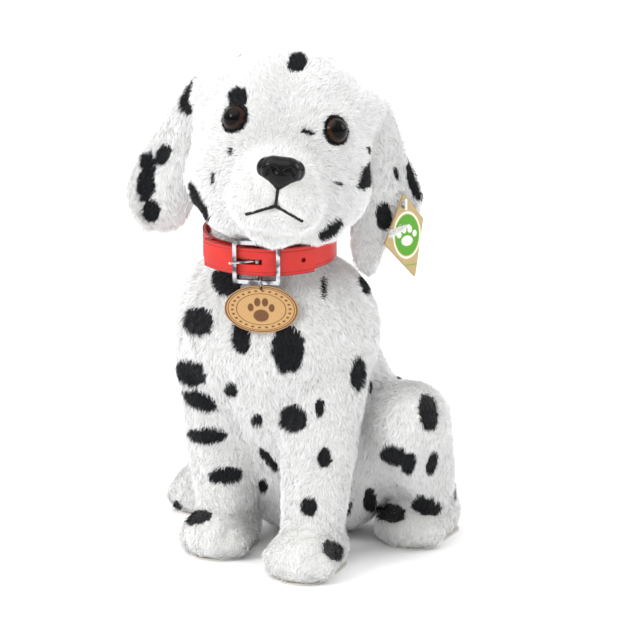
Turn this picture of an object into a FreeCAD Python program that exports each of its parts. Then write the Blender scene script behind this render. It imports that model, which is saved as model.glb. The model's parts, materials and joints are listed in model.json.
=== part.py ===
"""Sitting plush puppy with a buckled collar and two hang tags.

Frame: millimetres, +Z up, the puppy faces -Y, +X is the puppy's left.
The origin is on the floor under the middle of the whole toy's box.
Every soft piece is a sewn skin (a sealed shell) round a separate stuffing.
"""
import FreeCAD, Part
import math
import os

import Sketcher
from FreeCAD import Placement, Rotation, Vector

UP = Vector(0, 0, 1)
SIDES = {"left": 1, "right": -1}

SCALARS = {
    # cloth and gaps
    "cloth": 2.0,               # skin with its backing
    "slack": 0.4,               # air between a skin and its stuffing
    "gap": 0.6,                 # air between two bodies that move
    # place of the neck's centre in the finished frame
    "datum_x": -0.5,
    "datum_y": -49.0,
    # trunk
    "chest_radius": 46.0,
    "chest_half_width": 9.0,
    "hull_radius": 44.5,
    "rump_radius": 57.0,
    "pouch_radius": 33.0,
    # neck, measured along its own axis from the collar's middle
    "neck_lean": 7.0,
    "neck_turn": 25.0,
    "neck_radius": 33.0,
    "neck_foot_radius": 40.0,
    "neck_foot": -52.0,
    "neck_waist": -13.0,
    "neck_top": 9.0,
    # head
    "head_roll": 7.0,
    "cranium_radius": 43.5,
    "cranium_half_width": 6.5,
    "jowl_radius": 35.0,
    "jowl_half_width": 8.0,
    "muzzle_root_radius": 29.0,
    "muzzle_radius": 22.5,
    # front legs
    "shoulder_radius": 24.0,
    "wrist_radius": 16.5,
    "paw_heel_radius": 16.0,
    "paw_toe_radius": 19.0,
    "front_swing": 10.0,
    "sweep_step": 0.15,
    # hind legs
    "thigh_radius": 36.0,
    "knee_radius": 21.0,
    "ankle_radius": 17.0,
    # soles and toe stitches
    "sole_thick": 1.0,
    "sole_gap": 0.2,
    "sole_half_width": 16.0,
    "thread_radius": 0.6,
    "thread_lift": 0.9,
    "toe_fan": 22.0,
    "toe_arc_low": 8.0,
    "toe_arc_high": 52.0,
    # tail
    "tail_root_radius": 12.5,
    "tail_2_radius": 11.0,
    "tail_3_radius": 10.0,
    "tail_4_radius": 8.8,
    "tail_tip_radius": 7.0,
    # ears
    "ear_length": 88.0,
    "ear_seam_radius": 6.0,
    "ear_front": 6.0,
    "ear_root_width": 22.0,
    "ear_width": 40.0,
    "ear_layer": 2.4,
    "ear_seam_gap": 0.05,
    "ear_splay": 8.0,
    "ear_turn": 50.0,
    # safety eyes and nose
    "eye_radius": 7.2,
    "eye_height": 5.2,
    "eye_across": 28.2,
    "eye_up": 13.0,
    "eye_lift": 0.15,
    "shank_radius": 2.2,
    "shank_length": 13.0,
    "shank_play": 0.05,
    "washer_radius": 7.0,
    "washer_thick": 1.6,
    "washer_back": 5.2,
    "nose_width": 27.0,
    "nose_height": 19.0,
    "nose_depth": 12.5,
    "nose_sink": 5.0,
    "nose_fillet": 4.5,
    "nose_corner": 3.2,
    "nose_tilt": 34.0,
    "nostril_radius": 1.9,
    "nostril_across": 5.2,
    "nostril_up": 1.0,
    "nostril_depth": 3.0,
    # mouth thread, in degrees round the muzzle's tip
    "mouth_top": -8.0,
    "mouth_fork": -24.0,
    "mouth_branch": 40.0,
    "mouth_spread": 28.0,
    "mouth_fall": 0.42,
    # collar and buckle, radii from the neck's axis
    "strap_width": 16.0,
    "strap_thick": 1.8,
    "strap_inner_radius": 36.8,
    "free_end_radius": 41.2,
    "free_end_start": -34.0,
    "free_end_stop": 62.0,
    "seam_lap": 0.3,
    "seam_turn": 3.0,
    "buckle_turn": 16.0,
    "buckle_width": 27.0,
    "buckle_height": 25.0,
    "buckle_wire": 2.2,
    "buckle_corner": 1.0,
    "buckle_radius": 42.9,
    "bar_radius": 0.8,
    "bar_place": 39.9,
    "prong_radius": 0.8,
    "prong_reach": 14.4,
    "prong_rise": 6.9,
    "prong_eye_wall": 1.2,
    "prong_eye_play": 0.35,
    "prong_eye_extra": 0.3,
    "prong_weld": 0.6,
    "prong_slot": 3.2,
    "slot_length": 15.0,
    "slot_shift": 6.0,
    "slot_depth": 12.0,
    "hole_pitch": 13.0,
    "hole_radius": 1.4,
    # oval tag on the buckle's lower rail
    "oval_width": 42.0,
    "oval_height": 27.0,
    "oval_thick": 1.2,
    "oval_eye_radius": 1.0,
    "oval_eye_drop": 1.7,
    "ring_radius": 3.0,
    "ring_wire": 0.4,
    "ring_play": 0.4,
    "ring_shift": 2.6,
    # folded card on the ear
    "card_height": 49.0,
    "card_width": 26.0,
    "card_shoulder": 28.0,
    "card_sheet": 0.5,
    "card_air": 0.7,
    "card_hole_radius": 2.4,
    "card_hole_drop": 6.0,
    "card_stand": 4.2,
    "card_tilt": 10.0,
    "pin_across": 9.0,
    "pin_down": 60.0,
    "pin_wire": 0.6,
    "pin_bar": 0.8,
    "pin_bar_length": 6.4,
    "pin_inside": 4.0,
    "pin_outside": 8.9,
}

POINTS = {
    # measured from the neck's centre line at floor level
    "chest": (-1.0, 10.0, 136.0),
    "rump": (0.0, 66.0, 55.0),
    "pouch": (0.0, 62.0, 42.0),
    "neck": (0.5, 0.0, 189.5),
    "head": (11.0, -3.6, 249.0),
    "shoulder_left": (34.0, 2.0, 112.0),
    "wrist_left": (33.5, -13.0, 24.0),
    "front_heel_left": (34.0, -4.0, 12.0),
    "front_toe_left": (35.0, -29.0, 12.0),
    "shoulder_right": (-34.0, 2.0, 112.0),
    "wrist_right": (-31.0, 5.0, 24.0),
    "front_heel_right": (-30.5, 12.0, 12.0),
    "front_toe_right": (-30.0, -10.0, 12.0),
    "hip_left": (36.0, 74.0, 58.0),
    "knee_left": (78.0, 30.0, 84.0),
    "ankle_left": (69.5, 71.0, 25.5),
    "hind_heel_left": (68.0, 88.0, 12.0),
    "hind_toe_left": (67.0, 58.0, 12.0),
    "hip_right": (-36.0, 74.0, 58.0),
    "knee_right": (-56.0, 46.0, 80.0),
    "ankle_right": (-74.0, 80.0, 24.0),
    "hind_heel_right": (-76.0, 96.0, 12.0),
    "hind_toe_right": (-79.0, 66.0, 12.0),
    "tail_root": (0.0, 117.0, 29.0),
    "tail_2": (-1.0, 137.0, 20.0),
    "tail_3": (-12.0, 154.0, 13.5),
    "tail_4": (-34.0, 163.0, 11.0),
    "tail_tip": (-58.0, 160.0, 9.0),
}

FACE = {
    # measured from the head's centre, facing -Y, before it turns and rolls
    "jowl": (0.0, -10.0, -20.0),
    "muzzle_root": (0.0, -20.0, -17.0),
    "muzzle_tip": (0.0, -47.0, -22.5),
    "ear": (53.0, 0.0, 29.0),
    "ear_seam_front": (39.0, -9.0, 29.0),
    "ear_seam_back": (40.0, 9.0, 29.0),
}

# blocks that cut a whole body off level, larger than any body: length, width, height
FLOOR_BLOCK = (400.0, 400.0, 80.0)
NECK_BLOCK = (300.0, 300.0, 100.0)
# corners of the nose and of the card, as shares of their width and height
NOSE_BROW, NOSE_FOOT, NOSE_WING = 0.62, 0.3, 0.45
CARD_LEAN = 0.55
CARD_FOLD_MARGIN = 1.5

doc = FreeCAD.newDocument("plush_puppy")
sheet = doc.addObject("Spreadsheet::Sheet", "Sizes")


def fill_sheet():
    """Write every driving number to its own cell, with an alias."""
    rows = dict(SCALARS)
    for table in (POINTS, FACE):
        for name, place in table.items():
            for axis, value in zip("xyz", place):
                rows[f"{name}_{axis}"] = value
    for row, (alias, value) in enumerate(rows.items(), start=1):
        sheet.set(f"A{row}", alias.replace("_", " "))
        sheet.set(f"B{row}", str(value))
        sheet.setAlias(f"B{row}", alias)
    doc.recompute()


def size(alias):
    """Return one number of the sheet."""
    return float(sheet.get(alias))


def raw_point(name):
    """Return a point's three cells as they stand in the sheet."""
    return Vector(*(size(f"{name}_{axis}") for axis in "xyz"))


def point(name):
    """Return a point of the body in the finished frame."""
    return raw_point(name) + Vector(size("datum_x"), size("datum_y"), 0)


def neck_placement():
    """Placement of the neck's axis: it leans the way the head looks."""
    lean = Rotation(Vector(1, 0, 0), size("neck_lean"))
    return Placement(point("neck"), Rotation(UP, size("neck_turn")) * lean)


def head_placement():
    """Placement of the head: turned, then rolled about its own nose line."""
    roll = Rotation(Vector(0, 1, 0), size("head_roll"))
    return Placement(point("head"), Rotation(UP, size("neck_turn")) * roll)


# ---------------------------------------------------------------- helpers

def bind(item, prop, expression):
    """Bind one property to an expression on the sheet."""
    item.setExpression(prop, expression)


def cell(alias, grow=""):
    """Expression for a cell, with an optional signed sum of other cells."""
    text = f"Sizes.{alias}"
    return f"{text} {grow}".strip()


def origin_plane(body, role):
    """Return one of a body's own origin planes."""
    return next(f for f in body.Origin.OriginFeatures if f.Role == role)


def new_body(label):
    """Add an empty PartDesign body."""
    body = doc.addObject("PartDesign::Body", label)
    body.Label = label
    return body


def new_sketch(body, name, role="XZ_Plane", offset=None):
    """Add a sketch on one of the body's origin planes."""
    sketch = body.newObject("Sketcher::SketchObject", f"{body.Name}_{name}")
    sketch.AttachmentSupport = [(origin_plane(body, role), "")]
    sketch.MapMode = "FlatFace"
    if offset is not None:
        sketch.AttachmentOffset = offset
    return sketch


def constrain(sketch, name, expression, *constraint):
    """Add a dimension to a sketch and bind it to the sheet."""
    index = sketch.addConstraint(Sketcher.Constraint(*constraint))
    sketch.renameConstraint(index, name)
    sketch.setExpression(f"Constraints.{name}", expression)


def tie(sketch, *constraints):
    """Add plain geometric constraints to a sketch."""
    for item in constraints:
        sketch.addConstraint(Sketcher.Constraint(*item))


def polygon(sketch, corners):
    """Draw a closed polygon and join its corners."""
    first = sketch.GeometryCount
    count = len(corners)
    for index in range(count):
        start = Vector(*corners[index], 0)
        end = Vector(*corners[(index + 1) % count], 0)
        sketch.addGeometry(Part.LineSegment(start, end), False)
    for index in range(count):
        tie(sketch, ("Coincident", first + index, 2, first + (index + 1) % count, 1))
    return first


def revolve(body, sketch, name="Turn"):
    """Turn a sketch a full round about its own vertical axis."""
    turn = body.newObject("PartDesign::Revolution", f"{body.Name}_{name}")
    turn.Profile = sketch
    turn.ReferenceAxis = (sketch, ["V_Axis"])
    turn.Angle = 360.0
    body.Tip = turn
    return turn


def pad(body, sketch, expression, name="Pad", both=False):
    """Pad a sketch by a bound length."""
    feature = body.newObject("PartDesign::Pad", f"{body.Name}_{name}")
    feature.Profile = sketch
    bind(feature, "Length", expression)
    feature.Midplane = both
    body.Tip = feature
    return feature


def fuse(label, parts):
    """Join solids into one."""
    item = doc.addObject("Part::MultiFuse", label)
    item.Label = label
    item.Shapes = parts
    item.Refine = True
    return item


def cut(label, base, tools):
    """Take one or more solids away from a base."""
    tool = tools[0] if len(tools) == 1 else fuse(f"{label}_tools", tools)
    item = doc.addObject("Part::Cut", label)
    item.Label = label
    item.Base = base
    item.Tool = tool
    return item


def group(label, parts):
    """Keep several separate solids in one node."""
    item = doc.addObject("Part::Compound", label)
    item.Label = label
    item.Links = parts
    return item


def box(label, length, width, height, placement):
    """A Part box from three bound sizes, centred on its placement in X and Y."""
    item = doc.addObject("Part::Box", label)
    item.Label = label
    for prop, expression in (("Length", length), ("Width", width), ("Height", height)):
        bind(item, prop, expression)
    doc.recompute([item])
    middle = Placement(Vector(-item.Length.Value / 2, -item.Width.Value / 2, 0), Rotation())
    item.Placement = placement * middle
    return item


def cylinder(label, radius, height, placement):
    """A Part cylinder with a bound radius and height."""
    item = doc.addObject("Part::Cylinder", label)
    item.Label = label
    bind(item, "Radius", radius)
    bind(item, "Height", height)
    item.Placement = placement
    return item


def torus_arc(label, ring_expression, wire_expression, start, stop, placement):
    """A round thread or wire along an arc, from start to stop degrees."""
    item = doc.addObject("Part::Torus", label)
    item.Label = label
    bind(item, "Radius1", ring_expression)
    bind(item, "Radius2", wire_expression)
    item.Angle3 = stop - start
    item.Placement = placement * Placement(Vector(), Rotation(UP, start))
    return item


def capsule(label, start, end, start_radius, end_radius):
    """A round-ended taper from one point to another, turned from one profile."""
    body = new_body(label)
    axis = end - start
    length = axis.Length
    low, high = radius_value(start_radius), radius_value(end_radius)
    slope = math.asin((low - high) / length)
    low_edge = Vector(low * math.cos(slope), low * math.sin(slope), 0)
    high_edge = Vector(high * math.cos(slope), length + high * math.sin(slope), 0)
    quarter = math.pi / 2
    sketch = new_sketch(body, "Profile")
    plane_normal = Vector(0, 0, 1)
    low_circle = Part.Circle(Vector(0, 0, 0), plane_normal, low)
    high_circle = Part.Circle(Vector(0, length, 0), plane_normal, high)
    sketch.addGeometry(Part.ArcOfCircle(low_circle, -quarter, slope), False)
    sketch.addGeometry(Part.LineSegment(low_edge, high_edge), False)
    sketch.addGeometry(Part.ArcOfCircle(high_circle, slope, quarter), False)
    sketch.addGeometry(Part.LineSegment(Vector(0, length + high, 0), Vector(0, -low, 0)), False)
    tie(sketch, ("Coincident", 0, 3, -1, 1), ("PointOnObject", 2, 3, -2),
        ("Tangent", 0, 2, 1, 1), ("Tangent", 1, 2, 2, 1), ("Coincident", 2, 2, 3, 1),
        ("Coincident", 3, 2, 0, 1), ("PointOnObject", 2, 2, -2), ("PointOnObject", 0, 1, -2))
    sketch.addConstraint(Sketcher.Constraint("DistanceY", 0, 3, 2, 3, length))
    constrain(sketch, "start_radius", start_radius, "Radius", 0, low)
    constrain(sketch, "end_radius", end_radius, "Radius", 2, high)
    revolve(body, sketch)
    body.Placement = Placement(start, Rotation(UP, axis))
    return body


def radius_value(expression):
    """Work out a bound radius in plain numbers."""
    total = 0.0
    sign = 1.0
    for word in expression.split():
        if word in "+-":
            sign = 1.0 if word == "+" else -1.0
        else:
            total += sign * size(word.replace("Sizes.", ""))
    return total


# how far each nested level of a soft piece stands from the skin's outside
LEVELS = {"outside": "", "inner": "- Sizes.cloth", "core": "- Sizes.cloth - Sizes.slack"}
# how far a neighbour's socket in each level stands from that neighbour's skin
SOCKETS = {
    "outside": "+ Sizes.gap",
    "inner": "+ Sizes.gap + Sizes.cloth",
    "core": "+ Sizes.gap + Sizes.cloth + Sizes.slack",
}


def floor_cut(label, base, level):
    """Flatten the underside of a level so that it stands on its sole."""
    rise = size("sole_thick") + size("sole_gap")
    rise += {"outside": 0.0, "inner": size("cloth"), "core": size("cloth") + size("slack")}[level]
    block = doc.addObject("Part::Box", f"{label}_floor")
    block.Length, block.Width, block.Height = FLOOR_BLOCK
    length, width, height = FLOOR_BLOCK
    block.Placement = Placement(Vector(-length / 2, -width / 2, rise - height), Rotation())
    return cut(label, base, [block])


def chain(label, stops, grow):
    """Fuse tapers between (point, radius alias) stops, every radius grown alike."""
    links = []
    for index, ((start, low), (end, high)) in enumerate(zip(stops, stops[1:])):
        links.append(capsule(f"{label}_{index}", start, end, cell(low, grow), cell(high, grow)))
    return links


def shelled(name, levels):
    """Name the skin and the stuffing of a soft piece from its three levels."""
    skin = cut(f"{name}_skin", levels["outside"], [levels["inner"]])
    levels["core"].Label = f"{name}_stuffing"
    return [skin, levels["core"]]


# ---------------------------------------------------------------- trunk

def wide_capsule(label, centre, half_width, radius, turn=Rotation()):
    """A capsule that lies across the puppy, ends left and right."""
    across = turn.multVec(Vector(half_width, 0, 0))
    return capsule(label, centre - across, centre + across, radius, radius)


def neck(label, grow):
    """The neck: a plain barrel under the collar on a flared foot."""
    body = new_body(label)
    sketch = new_sketch(body, "Profile")
    barrel = radius_value(cell("neck_radius", grow))
    foot = radius_value(cell("neck_foot_radius", grow))
    low, waist, top = size("neck_foot"), size("neck_waist"), size("neck_top")
    if "-" in grow:
        top -= size("cloth")
    polygon(sketch, [(0, low), (foot, low), (barrel, waist), (barrel, top), (0, top)])
    tie(sketch, ("PointOnObject", 0, 1, -2), ("Vertical", 4), ("Horizontal", 0),
        ("Horizontal", 3), ("Vertical", 2))
    constrain(sketch, "foot", "-Sizes.neck_foot", "DistanceY", 0, 1, -1, 1, -low)
    constrain(sketch, "foot_radius", cell("neck_foot_radius", grow), "DistanceX", 0, 1, 0, 2, foot)
    constrain(sketch, "barrel_radius", cell("neck_radius", grow), "DistanceX", -1, 1, 2, 1, barrel)
    constrain(sketch, "waist", "-Sizes.neck_waist", "DistanceY", 1, 2, -1, 1, -waist)
    drop = " - Sizes.cloth" if "-" in grow else ""
    constrain(sketch, "top", f"Sizes.neck_top{drop}", "DistanceY", -1, 1, 3, 2, top)
    revolve(body, sketch)
    body.Placement = neck_placement()
    return body


def leg_stops(side):
    """The stops of a front leg from the shoulder down."""
    return [(point(f"shoulder_{side}"), "shoulder_radius"),
            (point(f"wrist_{side}"), "wrist_radius")]


def swept_socket(label, side, swing, grow):
    """The room a front leg needs when it has swung forward by an angle in degrees."""
    (shoulder, shoulder_radius), (wrist, wrist_radius) = leg_stops(side)
    turned = Rotation(Vector(-1, 0, 0), swing).multVec(wrist - shoulder)
    return capsule(label, shoulder, shoulder + turned,
                   cell(shoulder_radius, f"{grow} - Sizes.sweep_step"), cell(wrist_radius, grow))


def tail_stops():
    """The stops of the tail with its radii, root to tip."""
    names = ["tail_root", "tail_2", "tail_3", "tail_4", "tail_tip"]
    return [(point(name), f"{name}_radius") for name in names]


def trunk_level(level):
    """One nested level of the trunk, with sockets for the legs and the tail."""
    grow = LEVELS[level]
    chest, rump = point("chest"), point("rump")
    parts = [
        wide_capsule(f"chest_{level}", chest, size("chest_half_width"), cell("chest_radius", grow)),
        capsule(f"hull_{level}", chest, rump, cell("hull_radius", grow), cell("rump_radius", grow)),
        neck(f"neck_{level}", grow),
    ]
    standing = floor_cut(f"trunk_standing_{level}", fuse(f"trunk_full_{level}", parts), level)
    sockets = []
    for side in SIDES:
        sockets += chain(f"socket_{side}_{level}", leg_stops(side), SOCKETS[level])
        for share in (1, 2):
            swing = size("front_swing") * share / 2
            sockets.append(swept_socket(f"sweep_{side}_{level}_{share}", side, swing, SOCKETS[level]))
    ball = doc.addObject("Part::Sphere", f"tail_socket_{level}")
    bind(ball, "Radius", cell("tail_root_radius", SOCKETS[level]))
    ball.Placement = Placement(point("tail_root"), Rotation())
    return cut(f"trunk_{level}", standing, sockets + [ball])


def build_trunk():
    """Trunk skin, stuffing and the pellet pouch that weights the seat."""
    levels = {level: trunk_level(level) for level in LEVELS}
    pouch = doc.addObject("Part::Sphere", "pellet_pouch")
    bind(pouch, "Radius", cell("pouch_radius"))
    pouch.Placement = Placement(point("pouch"), Rotation())
    room = doc.addObject("Part::Sphere", "pouch_room")
    bind(room, "Radius", cell("pouch_radius", "+ Sizes.slack"))
    room.Placement = pouch.Placement
    skin = cut("trunk_skin", levels["outside"], [levels["inner"]])
    return [skin, cut("trunk_stuffing", levels["core"], [room]), pouch]


# ---------------------------------------------------------------- legs

def sole(label, heel, toe):
    """The flat sole panel under one paw."""
    body = new_body(label)
    sketch = new_sketch(body, "Outline", "XY_Plane")
    length = (toe - heel).Length
    radius = size("sole_half_width")
    heel_round = Part.Circle(Vector(), UP, radius)
    toe_round = Part.Circle(Vector(0, length, 0), UP, radius)
    sketch.addGeometry(Part.ArcOfCircle(heel_round, math.pi, 2 * math.pi), False)
    sketch.addGeometry(Part.LineSegment(Vector(radius, 0, 0), Vector(radius, length, 0)), False)
    sketch.addGeometry(Part.ArcOfCircle(toe_round, 0, math.pi), False)
    sketch.addGeometry(Part.LineSegment(Vector(-radius, length, 0), Vector(-radius, 0, 0)), False)
    tie(sketch, ("Coincident", 0, 3, -1, 1), ("PointOnObject", 2, 3, -2),
        ("Tangent", 0, 2, 1, 1), ("Tangent", 1, 2, 2, 1), ("Tangent", 2, 2, 3, 1),
        ("Tangent", 3, 2, 0, 1), ("DistanceY", 0, 3, 2, 3, length))
    constrain(sketch, "half_width", cell("sole_half_width"), "Radius", 0, radius)
    pad(body, sketch, cell("sole_thick"))
    heading = Vector(toe.x - heel.x, toe.y - heel.y, 0)
    body.Placement = Placement(Vector(heel.x, heel.y, 0), Rotation(Vector(0, 1, 0), heading))
    return body


def toe_stitches(label, toe):
    """Three short threads round the front of a paw, one between each two toes."""
    threads = []
    for index, fan in enumerate((-1, 0, 1)):
        turn = Rotation(UP, fan * size("toe_fan"))
        upright = Rotation(Vector(1, 0, 0), 90)
        facing = Rotation(UP, -90)
        placement = Placement(toe, turn * facing * upright)
        ring = cell("paw_toe_radius", "+ Sizes.thread_lift")
        threads.append(torus_arc(f"{label}_{index}", ring, cell("thread_radius"),
                                 size("toe_arc_low"), size("toe_arc_high"), placement))
    return group(label, threads)


def front_leg(side):
    """A front leg that swings in its shoulder: skin, stuffing, sole and threads."""
    name = f"front_leg_{side}"
    heel, toe = point(f"front_heel_{side}"), point(f"front_toe_{side}")
    stops = leg_stops(side)
    levels = {}
    for level, grow in LEVELS.items():
        parts = chain(f"{name}_{level}", stops, grow)
        parts.append(capsule(f"{name}_paw_{level}", heel, toe,
                             cell("paw_heel_radius", grow), cell("paw_toe_radius", grow)))
        levels[level] = floor_cut(f"{name}_cut_{level}", fuse(f"{name}_all_{level}", parts), level)
    nodes = shelled(name, levels)
    nodes.append(sole(f"front_sole_{side}", heel, toe))
    nodes.append(toe_stitches(f"front_toe_stitches_{side}", toe))
    return nodes


def hind_leg(side, trunk_clear):
    """A hind leg sewn along the flank: skin, stuffing, sole and threads."""
    name = f"hind_leg_{side}"
    heel, toe = point(f"hind_heel_{side}"), point(f"hind_toe_{side}")
    stops = [(point(f"hip_{side}"), "thigh_radius"), (point(f"knee_{side}"), "knee_radius"),
             (point(f"ankle_{side}"), "ankle_radius")]
    levels = {}
    for level, grow in LEVELS.items():
        parts = chain(f"{name}_{level}", stops, grow)
        parts.append(capsule(f"{name}_paw_{level}", heel, toe,
                             cell("paw_heel_radius", grow), cell("paw_toe_radius", grow)))
        standing = floor_cut(f"{name}_cut_{level}", fuse(f"{name}_all_{level}", parts), level)
        levels[level] = cut(f"{name}_free_{level}", standing, [trunk_clear[level]])
    nodes = shelled(name, levels)
    nodes.append(sole(f"hind_sole_{side}", heel, toe))
    nodes.append(toe_stitches(f"hind_toe_stitches_{side}", toe))
    return nodes


def trunk_clearance():
    """The trunk's full outside, grown level by level, that a thigh is cut back from."""
    grown = {}
    for level, grow in SOCKETS.items():
        chest, rump = point("chest"), point("rump")
        parts = [
            wide_capsule(f"clear_chest_{level}", chest, size("chest_half_width"),
                         cell("chest_radius", grow)),
            capsule(f"clear_hull_{level}", chest, rump, cell("hull_radius", grow),
                    cell("rump_radius", grow)),
        ]
        grown[level] = fuse(f"trunk_clear_{level}", parts)
    return grown


# ---------------------------------------------------------------- tail

def tail_level(level):
    """One nested level of the tail: tapers that bend from stop to stop."""
    return fuse(f"tail_{level}", chain(f"tail_run_{level}", tail_stops(), LEVELS[level]))


def build_tail():
    """The tail lies on the floor behind and curls to the puppy's right."""
    return shelled("tail", {level: tail_level(level) for level in LEVELS})


# ---------------------------------------------------------------- head

def face_point(name):
    """A point of the head's own frame in the finished frame."""
    return head_placement().multVec(raw_point(name))


def above_neck(label, base, level):
    """Cut the head off square to the neck, just over the neck's top."""
    rise = size("neck_top") + size("gap")
    rise += {"outside": 0.0, "inner": size("cloth"), "core": size("cloth") + size("slack")}[level]
    block = doc.addObject("Part::Box", f"{label}_under")
    block.Length, block.Width, block.Height = NECK_BLOCK
    length, width, height = NECK_BLOCK
    corner = Vector(-length / 2, -width / 2, rise - height)
    block.Placement = neck_placement() * Placement(corner, Rotation())
    return cut(label, base, [block])


def head_level(level):
    """One nested level of the head: cranium, jowls and muzzle."""
    grow = LEVELS[level]
    turn = head_placement().Rotation
    parts = [
        wide_capsule(f"cranium_{level}", point("head"), size("cranium_half_width"),
                     cell("cranium_radius", grow), turn),
        wide_capsule(f"jowl_{level}", face_point("jowl"), size("jowl_half_width"),
                     cell("jowl_radius", grow), turn),
        capsule(f"muzzle_{level}", face_point("muzzle_root"), face_point("muzzle_tip"),
                cell("muzzle_root_radius", grow), cell("muzzle_radius", grow)),
    ]
    for side, sign in SIDES.items():
        front, back = raw_point("ear_seam_front"), raw_point("ear_seam_back")
        front.x, back.x = sign * front.x, sign * back.x
        place = head_placement()
        parts.append(capsule(f"ear_seam_{side}_{level}", place.multVec(front), place.multVec(back),
                             cell("ear_seam_radius", grow), cell("ear_seam_radius", grow)))
    return above_neck(f"head_{level}", fuse(f"head_all_{level}", parts), level)


def eye_frame(side):
    """Placement of an eye: its Z points out of the face, through the cranium's end ball."""
    sign = SIDES[side]
    across, height = size("eye_across"), size("eye_up")
    ball = Vector(sign * size("cranium_half_width"), 0, 0)
    radius = size("cranium_radius")
    beside = across - size("cranium_half_width")
    ahead = math.sqrt(radius ** 2 - beside ** 2 - height ** 2)
    spot = Vector(sign * across, -ahead, height)
    outward = (spot - ball).normalize()
    lift = outward * size("eye_lift")
    return head_placement() * Placement(spot + lift, Rotation(UP, outward))


def nose_frame():
    """Placement of the nose: its Z points out of the muzzle, its Y up."""
    tip = raw_point("muzzle_tip")
    tilt = math.radians(size("nose_tilt"))
    outward = Vector(0, -math.cos(tilt), math.sin(tilt))
    spot = tip + outward * (size("muzzle_radius") - size("nose_sink"))
    side = Vector(1, 0, 0)
    upward = outward.cross(side)
    turn = Rotation(side, upward, outward, "ZXY")
    return head_placement() * Placement(spot, turn)


def button(label, frame, dome_radius, dome_height):
    """A safety eye: a domed cap on a plain shank, turned in one piece."""
    body = new_body(label)
    sketch = new_sketch(body, "Profile")
    rim, rise = size(dome_radius), size(dome_height)
    shank, depth = size("shank_radius"), size("shank_length")
    ball = (rim ** 2 + rise ** 2) / (2 * rise)
    centre = Vector(0, rise - ball, 0)
    start = math.asin((ball - rise) / ball)
    sketch.addGeometry(Part.ArcOfCircle(Part.Circle(centre, UP, ball), start, math.pi / 2), False)
    corners = [(0, rise), (0, -depth), (shank, -depth), (shank, 0), (rim, 0)]
    for (ax, ay), (bx, by) in zip(corners, corners[1:]):
        sketch.addGeometry(Part.LineSegment(Vector(ax, ay, 0), Vector(bx, by, 0)), False)
    tie(sketch, ("Coincident", 0, 2, 1, 1), ("Coincident", 1, 2, 2, 1), ("Coincident", 2, 2, 3, 1),
        ("Coincident", 3, 2, 4, 1), ("Coincident", 4, 2, 0, 1), ("PointOnObject", 0, 3, -2),
        ("PointOnObject", 1, 1, -2), ("PointOnObject", 1, 2, -2), ("Horizontal", 2), ("Vertical", 3),
        ("PointOnObject", 3, 2, -1), ("PointOnObject", 4, 2, -1))
    constrain(sketch, "rim", cell(dome_radius), "DistanceX", -1, 1, 4, 2, rim)
    constrain(sketch, "rise", cell(dome_height), "DistanceY", -1, 1, 0, 2, rise)
    constrain(sketch, "shank", cell("shank_radius"), "DistanceX", -1, 1, 3, 2, shank)
    constrain(sketch, "depth", cell("shank_length"), "DistanceY", 1, 2, -1, 1, depth)
    revolve(body, sketch)
    body.Placement = frame
    return body


def washer(label, frame):
    """The washer pressed on a shank behind the skin."""
    body = new_body(label)
    sketch = new_sketch(body, "Outline", "XY_Plane")
    inner, outer = size("shank_radius") + size("shank_play"), size("washer_radius")
    for radius in (outer, inner):
        sketch.addGeometry(Part.Circle(Vector(), UP, radius), False)
    tie(sketch, ("Coincident", 0, 3, -1, 1), ("Coincident", 1, 3, -1, 1))
    constrain(sketch, "outer", cell("washer_radius"), "Radius", 0, outer)
    constrain(sketch, "inner", cell("shank_radius", "+ Sizes.shank_play"), "Radius", 1, inner)
    pad(body, sketch, cell("washer_thick"))
    back = -size("cloth") - size("washer_back")
    body.Placement = frame * Placement(Vector(0, 0, back), Rotation())
    return body


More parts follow.
